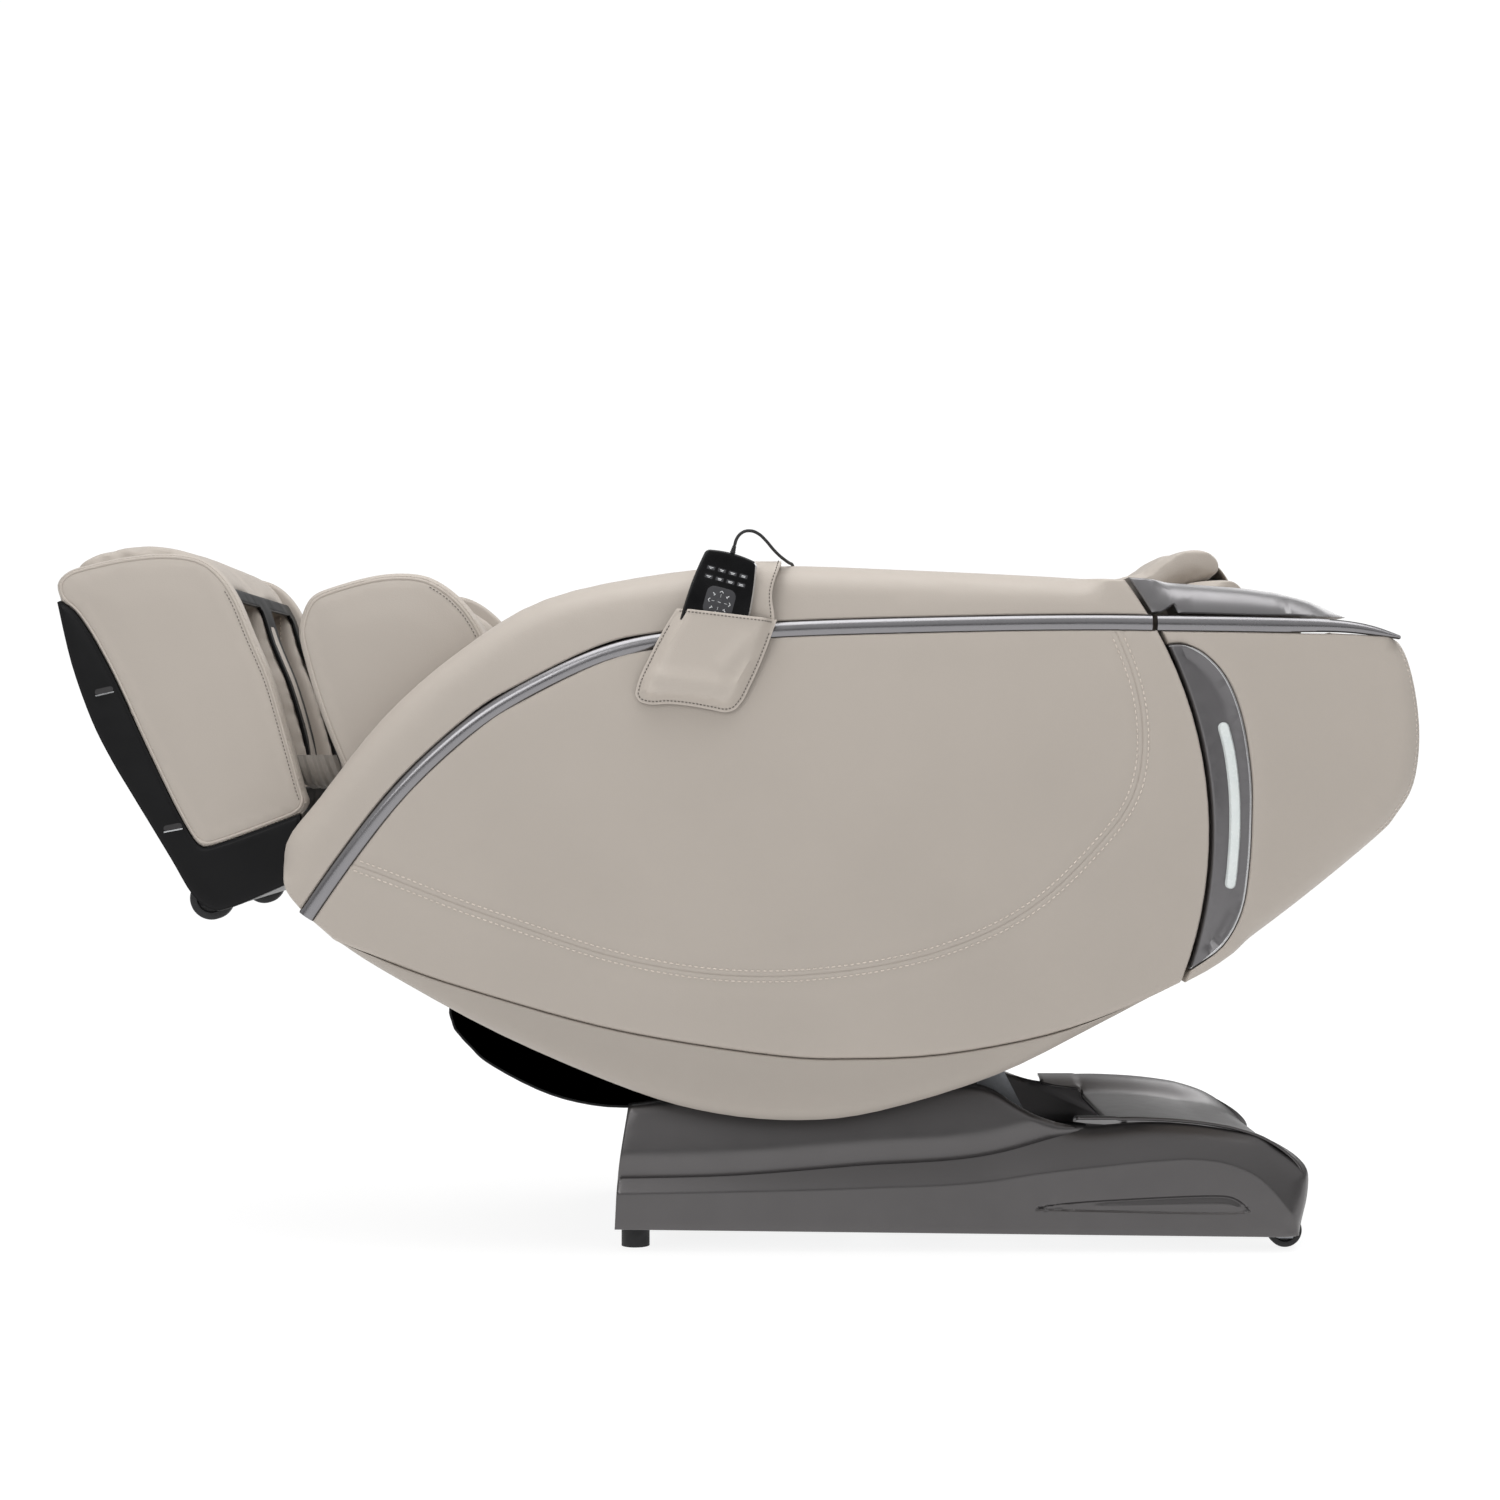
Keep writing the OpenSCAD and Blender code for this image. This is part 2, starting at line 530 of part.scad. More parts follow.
foot_pad_outline = concat(
  curve([[-640, 608], [-622, 640], [-640, 725], [-662, 800], [-688, 864], [-706, 916], [-726, 955], [-760, 982],
    [-810, 994], [-860, 990], [-905, 979], [-930, 962], [-930, 925]], 3),
  reversed(curve([[-640, 608], [-670, 597], [-726, 577], [-742, 577], [-750, 586], [-774, 631], [-811, 710],
    [-851, 797], [-874, 843], [-893, 876], [-912, 902]], 2))
);
// Where a foot goes: open towards the calf, under a toe cap
foot_well = [[-560, 640], [-735, 640], [-842, 872], [-836, 905], [-800, 925], [-770, 915], [-600, 960]];
roller_at = [-800, 720];
roller_r = 17;
module foot_pad() color(LEATHER) difference() {
  across(foot_pad_outline, leg_panel_in - 3);
  both() slab(foot_well, channel_y0, channel_y1);
  across(box_outline(roller_at.x - 20, roller_at.x + 12, roller_at.y - 20, roller_at.y + 20), channel_y1 - 4);
}
module foot_roller() color("#55565a") {
  rod(roller_at, 6, -200, 200);
  both() for (y = [60:35:165]) rod(roller_at, roller_r - 6, y, y + 22);
}
// Fabric gusset between the calf and foot units: floor and two low sides
module foot_gusset() color("#8f877f") difference() {
  across([[-556, 690], [-522, 640], [-596, 640], [-618, 690]], 238);
  across([[-500, 700], [-530, 647], [-590, 647], [-640, 700]], 232);
}

// ---------- base ----------
cover_top_line = curve([
  [-145, 207], [0, 226], [150, 238], [280, 238], [354, 231], [401, 204], [435, 187], [491, 173], [583, 178],
  [649, 175], [715, 165], [748, 157], [780, 141], [804, 124], [817, 105], [814, 75], [805, 46], [797, 21]
]);
cover_outline_base = concat([[-164, 32], [-160, 102]], cover_top_line);
cover_t = 30;
module base_side_cover() color(GUNMETAL) difference() {
  slab(cover_outline_base, base_half_w - cover_t, base_half_w);
  // hollow towards the frame
  slab(about(cover_outline_base, [300, 20], 0.94), base_half_w - cover_t - 1, base_half_w - 6);
}
centre_half = base_half_w - cover_t - 1;
deck_line = curve([
  [546, 168], [583, 168], [649, 164], [715, 154], [755, 142], [786, 122], [799, 104], [800, 80], [800, 56]
]);
inlet_y = 100;
inlet_z = 80;
module base_centre_covers() color(GUNMETAL) {
  difference() {
    across(ribbon(deck_line, 6), centre_half);
    // mains inlet cut-out
    translate([790, inlet_y - 32, inlet_z - 16]) cube([20, 64, 32]);
  }
  across(box_outline(-160, -154, 34, 100), centre_half);
}
tube_z0 = 34;
tube_z1 = 66;
rail_x0 = 60;
rail_x1 = 560;
rail_in = 198;
rail_out = 232;
rail_bottom = tube_z1 + 4;
roller_wheel_r = 16.5;
axle_z = rail_bottom + roller_wheel_r + 0.3;
axle_x = [100, 400];
axle_r = 6;
bracket_x = 782;
module base_frame() color(STEEL) {
  both() {
    slab(box_outline(-150, 742, tube_z0, tube_z1), 205, 237);
    for (x = [-150, 180, 460, 710]) slab(box_outline(x, x + 32, tube_z0, tube_z1), -0.1, 206);
    // C-section rails of the glide
    slab(box_outline(rail_x0, rail_x1, tube_z1 - 0.1, rail_bottom), rail_in, rail_out);
    slab(box_outline(rail_x0, rail_x1, rail_bottom - 0.1, rail_bottom + 34.1), rail_out - 4, rail_out);
    slab(box_outline(rail_x0, rail_x1, rail_bottom + 34, rail_bottom + 38), rail_in, rail_out);
    // forks of the transport wheels
    for (y = [213, 241]) slab([[700, 36], [bracket_x - 10, 14], [bracket_x + 10, 14], [bracket_x + 10, 60],
      [700, 60]], y, y + 4);
    rod([bracket_x, rear_wheel_r], 5, 212, 246);
  }
}
module rear_wheel() color(RUBBER) difference() {
  rod([bracket_x, rear_wheel_r], rear_wheel_r, 219, 239);
  rod([bracket_x, rear_wheel_r], 5 + running, 218, 240);
}
front_foot_x = -137;
module front_feet() color(RUBBER) both() translate([front_foot_x, -221, 0]) cylinder(r = foot_r, h = tube_z0);
actuator_z = 108;
module glide_actuator() color("#3c3d41") {
  // motor housing and tube along the centre line, on the rear cross tube
  across(box_outline(590, 742, tube_z1, tube_z1 + 8), 30);
  across(box_outline(600, 690, tube_z1 + 7, actuator_z - 17), 12);
  across(box_outline(699, 745, tube_z1 + 7, actuator_z + 26), 34);
  difference() {
    translate([560, 0, actuator_z]) rotate([0, 90, 0]) cylinder(r = 20, h = 140);
    translate([559, 0, actuator_z]) rotate([0, 90, 0]) cylinder(r = 11, h = 136);
  }
}
module power_inlet() color(BLACK) difference() {
  translate([780, inlet_y - 31, inlet_z - 15]) cube([26, 62, 30]);
  translate([791, inlet_y - 26, inlet_z - 10]) cube([16, 28, 20]);
  translate([795, inlet_y + 10, inlet_z - 10]) cube([12, 16, 20]);
}
module power_switch() color("#7a1d1d") translate([0, inlet_y + 18, 0])
  translate([0, 7.5, 0]) slab([[800, inlet_z], [805, inlet_z - 8.5], [808, inlet_z - 8.5], [806, inlet_z],
    [805, inlet_z + 8.5], [802, inlet_z + 8.5]], 0, 15);
bar_y0 = 174;
bar_y1 = 188;
ear_y = 150;
module glide_carriage() color("#66696e") {
  difference() {
    union() {
      both() {
        slab(box_outline(70, 430, 74, 100), bar_y0, bar_y1);
        slab([[368, 78], [436, 78], [418, 188], [382, 188]], ear_y, ear_y + 10);
        slab(box_outline(380, 436, 78, 98), ear_y + 9, bar_y0 + 1);
      }
      for (x = [130, 360]) across(box_outline(x, x + 22, 76, 98), bar_y0 + 1);
    }
    both() {
      for (x = axle_x) rod([x, axle_z], axle_r + running, ear_y - 1, bar_y1 + 1);
      rod(TILT_AXIS, tilt_pin_r + running, ear_y - 1, ear_y + 11);
    }
  }
  // push rod into the actuator tube
  translate([381, 0, actuator_z]) rotate([0, 90, 0]) cylinder(r = 10, h = 204);
  across(box_outline(362, 382, 90, actuator_z + 12), 12);
}
module tilt_pin() color(STEEL) rod(TILT_AXIS, tilt_pin_r, -162, 162);
module roller_axle(x) color("#3a3b3e") {
  rod([x, axle_z], axle_r, -224, 224);
  both() rod([x, axle_z], roller_wheel_r, 200, 223);
}

base_side_cover();  // base_side_cover_left
right_of() base_side_cover();  // base_side_cover_right
base_centre_covers();
base_frame();
front_feet();
glide_actuator();
power_inlet();
power_switch();
rear_wheel();  // rear_wheel_left
right_of() rear_wheel();  // rear_wheel_right
glide_carriage();
tilt_pin();
roller_axle(axle_x[0]);  // front_roller_axle
roller_axle(axle_x[1]);  // rear_roller_axle
seat_frame();
hinge_shafts();
hinge_gearmotors();
shell_boards();
side_panel();  // side_panel_left
right_of() side_panel();  // side_panel_right
armrest();  // armrest_left
right_of() armrest();  // armrest_right
trim_strips();
lower_skirts();
seat_cushion();
arm_airbags();
belly_cover();
air_pump_box();
handset_pocket();
handset_cord();
cord_gland();
back_frame();
back_cushion();
shoulder_pads();
back_side_panel();  // back_side_panel_left
right_of() back_side_panel();  // back_side_panel_right
shoulder_covers();
back_trim_strips();
light_trims();
light_lenses();
back_shell();
headrest_pillow();
massage_carriage();
massage_rollers();
calf_frame();
calf_side();  // calf_side_left
right_of() calf_side();  // calf_side_right
calf_pad();
foot_shell();
foot_side();  // foot_side_left
right_of() foot_side();  // foot_side_right
foot_pad();
foot_gusset();
foot_roller();
leg_wheel();  // leg_wheel_left
right_of() leg_wheel();  // leg_wheel_right
handset_body();
handset_keypad();
handset_nav_pad();
handset_strain_relief();
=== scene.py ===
"""Looks of the reclining massage chair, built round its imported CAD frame. Metres, +Z up.

X runs from the feet (-X) to the head (+X). Covers are built for the left side (-Y), where a
distance `out` from the centre plane stands for -y, and are mirrored for the right side.
"""
import json
import math

import bmesh
import bpy
import numpy as np
from mathutils import Matrix, Vector
from mathutils.bvhtree import BVHTree
from mathutils.geometry import delaunay_2d_cdt

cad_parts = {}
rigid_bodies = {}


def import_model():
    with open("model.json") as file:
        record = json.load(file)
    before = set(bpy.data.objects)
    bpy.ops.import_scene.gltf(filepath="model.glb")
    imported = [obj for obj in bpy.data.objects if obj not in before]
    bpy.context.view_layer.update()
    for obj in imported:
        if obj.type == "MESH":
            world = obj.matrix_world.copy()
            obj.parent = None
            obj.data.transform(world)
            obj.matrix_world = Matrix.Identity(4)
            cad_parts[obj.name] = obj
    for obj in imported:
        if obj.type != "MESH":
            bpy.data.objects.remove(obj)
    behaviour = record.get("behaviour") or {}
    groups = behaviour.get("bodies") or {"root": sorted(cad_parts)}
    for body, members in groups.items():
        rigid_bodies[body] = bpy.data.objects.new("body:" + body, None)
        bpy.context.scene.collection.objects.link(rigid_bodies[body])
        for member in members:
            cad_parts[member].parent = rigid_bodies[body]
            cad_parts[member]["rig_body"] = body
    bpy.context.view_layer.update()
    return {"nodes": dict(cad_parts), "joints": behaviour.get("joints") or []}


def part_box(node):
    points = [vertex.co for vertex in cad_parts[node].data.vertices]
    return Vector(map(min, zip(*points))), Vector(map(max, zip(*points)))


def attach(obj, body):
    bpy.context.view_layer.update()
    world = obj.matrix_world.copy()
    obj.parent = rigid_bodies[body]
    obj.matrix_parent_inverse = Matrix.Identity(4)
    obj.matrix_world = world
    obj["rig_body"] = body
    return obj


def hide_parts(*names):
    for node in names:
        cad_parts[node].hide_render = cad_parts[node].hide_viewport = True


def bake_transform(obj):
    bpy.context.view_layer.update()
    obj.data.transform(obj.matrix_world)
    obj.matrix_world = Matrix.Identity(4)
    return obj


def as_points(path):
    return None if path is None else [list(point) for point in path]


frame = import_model()
nodes = frame["nodes"]
scene = bpy.context.scene

WELD = 1e-5          # vertices of the frame closer than this are one vertex
SHARP = math.radians(28)         # an outline turns this much at a corner
STEP = 0.006         # spacing of points along an outline


# ---------- camera, light and floor ----------
EYE = (0.0255, -3.9, 0.703)
LENS_MM = 62.16
# Brightness of the room from straight down (0) over the horizon (0.5) to straight up (1)
ROOM_GREYS = [(0.0, 0.40), (0.40, 0.26), (0.50, 0.16), (0.57, 0.34), (0.68, 0.95), (1.0, 1.15)]


def make_camera():
    camera = bpy.data.cameras.new("camera")
    camera.lens = LENS_MM
    camera.sensor_width = 36
    camera.clip_end = 60
    eye = bpy.data.objects.new("camera", camera)
    eye.location = EYE
    eye.rotation_euler = (math.radians(90), 0, 0)
    scene.collection.objects.link(eye)
    scene.camera = eye


def make_area_light(name, place, target, width, height, power):
    light = bpy.data.lights.new(name, "AREA")
    light.shape = "RECTANGLE"
    light.size = width
    light.size_y = height
    light.energy = power
    lamp = bpy.data.objects.new(name, light)
    lamp.location = place
    lamp.rotation_euler = (Vector(target) - Vector(place)).to_track_quat("-Z", "Y").to_euler()
    scene.collection.objects.link(lamp)


def make_studio():
    """White room: bright behind and above, greyer in front, with soft boxes."""
    world = bpy.data.worlds.new("studio")
    scene.world = world
    world.use_nodes = True
    tree = world.node_tree
    tree.nodes.clear()
    output = tree.nodes.new("ShaderNodeOutputWorld")
    mix = tree.nodes.new("ShaderNodeMixShader")
    path = tree.nodes.new("ShaderNodeLightPath")
    white = tree.nodes.new("ShaderNodeBackground")
    white.inputs["Color"].default_value = (1, 1, 1, 1)
    white.inputs["Strength"].default_value = 1.05
    room = tree.nodes.new("ShaderNodeBackground")
    room.inputs["Strength"].default_value = 0.66
    place = tree.nodes.new("ShaderNodeTexCoord")
    axes = tree.nodes.new("ShaderNodeSeparateXYZ")
    height = tree.nodes.new("ShaderNodeMapRange")
    ramp = tree.nodes.new("ShaderNodeValToRGB")
    tree.links.new(place.outputs["Generated"], axes.inputs[0])
    tree.links.new(axes.outputs["Z"], height.inputs["Value"])
    height.inputs["From Min"].default_value = -1
    height.inputs["From Max"].default_value = 1
    tree.links.new(height.outputs["Result"], ramp.inputs["Fac"])
    for position, _ in ROOM_GREYS[1:-1]:
        ramp.color_ramp.elements.new(position)
    for element, (_, grey) in zip(ramp.color_ramp.elements, ROOM_GREYS):
        element.color = (grey, grey, grey, 1)
    tree.links.new(ramp.outputs["Color"], room.inputs["Color"])
    tree.links.new(path.outputs["Is Camera Ray"], mix.inputs["Fac"])
    tree.links.new(room.outputs[0], mix.inputs[1])
    tree.links.new(white.outputs[0], mix.inputs[2])
    tree.links.new(mix.outputs[0], output.inputs["Surface"])

    middle = (0, 0, 0.6)
    make_area_light("top_box", (0.2, -0.6, 3.2), middle, 3.4, 2.2, 58)
    make_area_light("front_box", (-1.6, -3.6, 2.3), middle, 1.8, 1.4, 23)
    make_area_light("rear_box", (2.2, 2.6, 2.2), middle, 2.0, 1.6, 21)

    bpy.ops.mesh.primitive_plane_add(size=60, location=(0, 0, -0.0005))
    floor = bpy.context.object
    floor.name = "studio_floor"
    paper = bpy.data.materials.new("floor_paper")
    paper.use_nodes = True
    shader = paper.node_tree.nodes["Principled BSDF"]
    shader.inputs["Base Color"].default_value = (0.24, 0.24, 0.24, 1)
    shader.inputs["Roughness"].default_value = 0.9
    shader.inputs["Specular IOR Level"].default_value = 0.1
    shader.inputs["Emission Color"].default_value = (1, 1, 1, 1)
    shader.inputs["Emission Strength"].default_value = 0.86
    floor.data.materials.append(paper)
    scene.view_settings.view_transform = "Standard"


# ---------- materials ----------
class Shading:
    """A material whose nodes are added one at a time."""

    def __init__(self, name, colour, roughness, metallic=0.0):
        self.material = bpy.data.materials.new(name)
        self.material.use_nodes = True
        self.tree = self.material.node_tree
        self.shader = self.tree.nodes["Principled BSDF"]
        self.set("Base Color", (*colour, 1))
        self.set("Roughness", roughness)
        self.set("Metallic", metallic)
        self.coordinates = self.tree.nodes.new("ShaderNodeTexCoord").outputs["Object"]
        self.normal = None

    def set(self, socket, value):
        self.shader.inputs[socket].default_value = value

    def stretched(self, scale):
        """Object coordinates scaled by three factors."""
        node = self.tree.nodes.new("ShaderNodeMapping")
        node.inputs["Scale"].default_value = scale
        self.tree.links.new(self.coordinates, node.inputs["Vector"])
        return node.outputs["Vector"]

    def noise(self, scale, detail=3.0, vector=None):
        node = self.tree.nodes.new("ShaderNodeTexNoise")
        node.inputs["Scale"].default_value = scale
        node.inputs["Detail"].default_value = detail
        self.tree.links.new(vector or self.coordinates, node.inputs["Vector"])
        return node.outputs["Fac"]

    def cells(self, scale, feature="F1"):
        node = self.tree.nodes.new("ShaderNodeTexVoronoi")
        node.feature = feature
        node.inputs["Scale"].default_value = scale
        self.tree.links.new(self.coordinates, node.inputs["Vector"])
        return node.outputs["Distance"]

    def waves(self, scale, direction):
        node = self.tree.nodes.new("ShaderNodeTexWave")
        node.bands_direction = direction
        node.inputs["Scale"].default_value = scale
        self.tree.links.new(self.coordinates, node.inputs["Vector"])
        return node.outputs["Fac"]

    def pointiness(self, low=0.5, high=0.56):
        node = self.tree.nodes.new("ShaderNodeNewGeometry")
        return self.ranged(node.outputs["Pointiness"], low, high, 0, 1)

    def ranged(self, value, low, high, to_low, to_high):
        node = self.tree.nodes.new("ShaderNodeMapRange")
        for socket, number in zip(("From Min", "From Max", "To Min", "To Max"), (low, high, to_low, to_high)):
            node.inputs[socket].default_value = number
        self.tree.links.new(value, node.inputs["Value"])
        return node.outputs["Result"]

    def maths(self, operation, a, b):
        node = self.tree.nodes.new("ShaderNodeMath")
        node.operation = operation
        for socket, value in zip(node.inputs, (a, b)):
            if isinstance(value, (int, float)):
                socket.default_value = value
            else:
                self.tree.links.new(value, socket)
        return node.outputs[0]

    def tint(self, factor, colour, amount=1.0):
        """Mixes a colour over what the base colour is so far, where factor is high."""
        node = self.tree.nodes.new("ShaderNodeMix")
        node.data_type = "RGBA"
        base = self.shader.inputs["Base Color"]
        if base.is_linked:
            self.tree.links.new(base.links[0].from_socket, node.inputs["A"])
        else:
            node.inputs["A"].default_value = base.default_value
        node.inputs["B"].default_value = (*colour, 1)
        self.tree.links.new(self.maths("MULTIPLY", factor, amount), node.inputs["Factor"])
        self.tree.links.new(node.outputs["Result"], base)

    def rough(self, factor, low, high):
        self.tree.links.new(self.ranged(factor, 0.3, 0.7, low, high), self.shader.inputs["Roughness"])

    def bump(self, height, strength, distance):
        node = self.tree.nodes.new("ShaderNodeBump")
        node.inputs["Strength"].default_value = strength
        node.inputs["Distance"].default_value = distance
        self.tree.links.new(height, node.inputs["Height"])
        if self.normal is not None:
            self.tree.links.new(self.normal, node.inputs["Normal"])
        self.normal = node.outputs["Normal"]
        self.tree.links.new(self.normal, self.shader.inputs["Normal"])


def shade(colour, factor):
    return tuple(min(channel * factor, 1) for channel in colour)


def leather(name, colour, grain=1.0):
    """Smooth upholstery leather: pores, fine creases, slight clouding and paler worn edges."""
    look = Shading(name, colour, 0.5)
    look.set("Specular IOR Level", 0.42)
    look.set("Sheen Weight", 0.06)
    look.set("Sheen Roughness", 0.5)
    clouds = look.noise(5, 4)
    look.tint(look.ranged(clouds, 0.35, 0.7, 0, 1), shade(colour, 0.93), 0.6)
    look.tint(look.noise(900, 2), shade(colour, 1.08), 0.25)
    look.tint(look.pointiness(), shade(colour, 1.16), 0.45)
    look.rough(look.noise(60, 4), 0.46, 0.58)
    look.bump(look.noise(45, 3), 0.10 * grain, 0.002)
    pebbles = look.cells(620, feature="SMOOTH_F1")
    look.bump(pebbles, 0.22 * grain, 0.0005)
    look.bump(look.noise(2200, 2), 0.12 * grain, 0.0002)
    return look.material


def paint(name, colour, metallic=0.75, roughness=0.3, coat=0.25, peel=1.0):
    """Metallic paint: fine flakes, a clear coat and faint orange peel."""
    look = Shading(name, colour, roughness, metallic)
    look.set("Coat Weight", coat)
    look.set("Coat Roughness", 0.12)
    flakes = look.cells(3800)
    look.tint(look.ranged(flakes, 0.1, 0.9, 0, 1), shade(colour, 1.2), 0.2)
    look.tint(look.ranged(look.noise(4, 3), 0.4, 0.7, 0, 1), shade(colour, 0.9), 0.5)
    look.rough(look.noise(30, 3), roughness - 0.02, roughness + 0.04)
    look.bump(look.noise(260, 2), 0.03 * peel, 0.0008)
    look.bump(flakes, 0.04 * peel, 0.0001)
    return look.material


def plastic(name, colour, roughness=0.4, grain=0.12, scale=1400, specular=0.5):
    """Moulded plastic: fine spark texture, scuffs in the roughness and paler edges."""
    look = Shading(name, colour, roughness)
    look.set("Specular IOR Level", specular)
    look.tint(look.ranged(look.noise(7, 4), 0.4, 0.7, 0, 1), shade(colour, 1.12), 0.6)
    look.tint(look.pointiness(0.51, 0.6), shade(colour, 1.5), 0.35)
    look.rough(look.noise(24, 6), roughness - 0.06, roughness + 0.09)
    look.bump(look.noise(scale, 2), grain, 0.0002)
    return look.material


def metal(name, colour, roughness, brushed):
    """Bare or plated metal with brushing along one axis, and duller patches."""
    look = Shading(name, colour, roughness, 1.0)
    streaks = look.noise(300, 3, look.stretched(brushed))
    look.tint(look.ranged(look.noise(9, 4), 0.35, 0.7, 0, 1), shade(colour, 0.82), 0.7)
    look.rough(streaks, roughness - 0.06, roughness + 0.1)
    look.bump(streaks, 0.06, 0.0002)
    return look.material


def rubber(name, colour, roughness=0.65):
    """Matt rubber, dusted grey in patches."""
    look = Shading(name, colour, roughness)
    look.tint(look.ranged(look.noise(40, 5), 0.4, 0.75, 0, 1), shade(colour, 1.7), 0.5)
    look.rough(look.noise(80, 3), roughness - 0.08, roughness + 0.1)
    look.bump(look.noise(900, 3), 0.2, 0.0003)
    return look.material


def fabric(name, colour, scale=260, sheen=0.25):
    """Woven cloth: two crossing sets of threads with fluff between them."""
    look = Shading(name, colour, 0.85)
    look.set("Sheen Weight", sheen)
    look.set("Sheen Roughness", 0.4)
    weave = look.maths("ADD", look.waves(scale, "X"), look.waves(scale, "Z"))
    weave = look.maths("ADD", weave, look.waves(scale, "Y"))
    look.tint(look.ranged(weave, 0.8, 2.2, 0, 1), shade(colour, 1.3), 0.6)
    look.tint(look.ranged(look.noise(14, 4), 0.4, 0.7, 0, 1), shade(colour, 0.8), 0.5)
    look.bump(weave, 0.35, 0.0004)
    look.bump(look.noise(700, 3), 0.2, 0.0003)
    return look.material


def lamp_lens(name):
    """Milky diffuser of the side light."""
    look = Shading(name, (0.74, 0.78, 0.77), 0.25)
    look.set("Subsurface Weight", 0.3)
    look.set("Subsurface Radius", (0.004, 0.004, 0.004))
    look.set("Coat Weight", 0.5)
    look.set("Coat Roughness", 0.08)
    look.tint(look.ranged(look.noise(60, 3), 0.4, 0.7, 0, 1), (0.68, 0.73, 0.73), 0.5)
    look.rough(look.noise(200, 2), 0.2, 0.3)
    look.bump(look.waves(420, "Z"), 0.05, 0.0002)
    return look.material


LEATHER = (0.432, 0.387, 0.343)
leather_shell = leather("leather_shell", LEATHER)
# The shell leather made darker for the lower skirts: painted shade, for the low part of the side that catches less
# light
leather_skirt_painted_shade = leather("leather_skirt_painted_shade", shade(LEATHER, 0.88))
leather_pad = leather("leather_pad", shade(LEATHER, 1.02), 1.5)
leather_pocket = leather("leather_pocket", shade(LEATHER, 1.1), 1.6)
leather_dark = leather("leather_dark", (0.075, 0.068, 0.062), 1.3)
thread = fabric("thread", shade(LEATHER, 1.55), 1500)
thread_dark = fabric("thread_dark", (0.15, 0.135, 0.12), 1500, 0.05)
gunmetal = paint("gunmetal", (0.120, 0.115, 0.116), 0.9, 0.33, 0.05, 0.0)
strip_metal = paint("strip_metal", (0.25, 0.245, 0.255), 0.95, 0.24, 0.1, 0.03)
cover_metal = paint("cover_metal", (0.22, 0.215, 0.22), 0.85, 0.36, 0.05, 0.05)
insert_paint = paint("insert_paint", (0.15, 0.145, 0.15), 0.6, 0.36, 0.3)
insert_rim = paint("insert_rim", (0.5, 0.5, 0.51), 0.95, 0.24, 0.1)
lens = lamp_lens("lens")
black_satin = plastic("black_satin", (0.006, 0.006, 0.0065), 0.36, specular=0.16)
black_gloss = plastic("black_gloss", (0.004, 0.004, 0.0045), 0.2, 0.03, specular=0.22)
gusset_cloth = fabric("gusset_cloth", (0.26, 0.235, 0.21), 420)
steel_paint = metal("steel_paint", (0.30, 0.31, 0.33), 0.42, (1, 14, 1))
bright_steel = metal("bright_steel", (0.62, 0.63, 0.65), 0.24, (14, 1, 1))
chrome = metal("chrome", (0.75, 0.76, 0.78), 0.16, (1, 1, 10))
rubber_black = rubber("rubber_black", (0.014, 0.014, 0.015))
roller_plastic = plastic("roller_plastic", (0.56, 0.54, 0.5), 0.45)
key_silicone = plastic("key_silicone", (0.03, 0.03, 0.034), 0.5, 0.1)
key_print = plastic("key_print", (0.62, 0.63, 0.64), 0.5, 0.05)
silver_edge = paint("silver_edge", (0.6, 0.6, 0.6), 0.8, 0.3, 0.1, 0.2)
switch_red = plastic("switch_red", (0.20, 0.012, 0.012), 0.35)
# Near-black stand-in for the hollows of gaps and slots: painted shade
gap_painted_shade = plastic("gap_painted_shade", (0.02, 0.019, 0.02), 0.7)


# ---------- lines and outlines ----------
def spaced(line, step, closed=False):
    """Points at even steps along a smooth curve through a line's own points."""
    p = np.asarray(line, float)
    if closed:
        p = np.vstack([p, p[:1]])
    leg = np.diff(p, axis=0)
    length = np.linalg.norm(leg, axis=1)
    slope = leg / length[:, None]
    if closed:
        before, after, back, ahead = np.roll(slope, 1, 0), slope, np.roll(length, 1), length
        inner = (before * ahead[:, None] + after * back[:, None]) / (back + ahead)[:, None]
        tangent = np.vstack([inner, inner[:1]])
    else:
        inner = slope[:-1] * length[1:, None] + slope[1:] * length[:-1, None]
        inner = inner / (length[1:] + length[:-1])[:, None]
        tangent = np.vstack([slope[:1], inner, slope[-1:]])
    along = np.concatenate([[0], np.cumsum(length)])
    count = max(round(along[-1] / step), 3 if closed else 1)
    at = np.linspace(0, along[-1], count + 1)
    i = np.clip(np.searchsorted(along, at, side="right") - 1, 0, len(length) - 1)
    h = length[i][:, None]
    t = ((at - along[i]) / length[i])[:, None]
    q = ((2 * t**3 - 3 * t**2 + 1) * p[i] + (t**3 - 2 * t**2 + t) * h * tangent[i]
         + (3 * t**2 - 2 * t**3) * p[i + 1] + (t**3 - t**2) * h * tangent[i + 1])
    return q[:-1] if closed else q


def directions(line, closed=False):
    """Unit directions along a line at its points."""
    if closed:
        along = np.roll(line, -1, 0) - np.roll(line, 1, 0)
    else:
        along = np.gradient(line, axis=0)
    return along / np.linalg.norm(along, axis=1)[:, None]


def beside(line, width, closed=False):
    """The line moved to its left by width."""
    along = directions(line, closed)
    return line + width * np.column_stack([-along[:, 1], along[:, 0]])


def smoothed(line, rounds, closed=False):
    """A line evened out round by round; the ends of an open one stay."""
    line = line.copy()
    for _ in range(rounds):
        if closed:
            line = (np.roll(line, 1, 0) + 2 * line + np.roll(line, -1, 0)) / 4
        else:
            line[1:-1] = (line[:-2] + 2 * line[1:-1] + line[2:]) / 4
    return line


def resampled(line, count):
    """The line as a given number of points at even shares of its own points."""
    share, own = np.linspace(0, 1, count), np.linspace(0, 1, len(line))
    return np.column_stack([np.interp(share, own, values) for values in line.T])


def counter_clockwise(loop):
    x, z = loop.T
    area = (x * np.roll(z, -1) - np.roll(x, -1) * z).sum()
    return loop if area > 0 else loop[::-1]


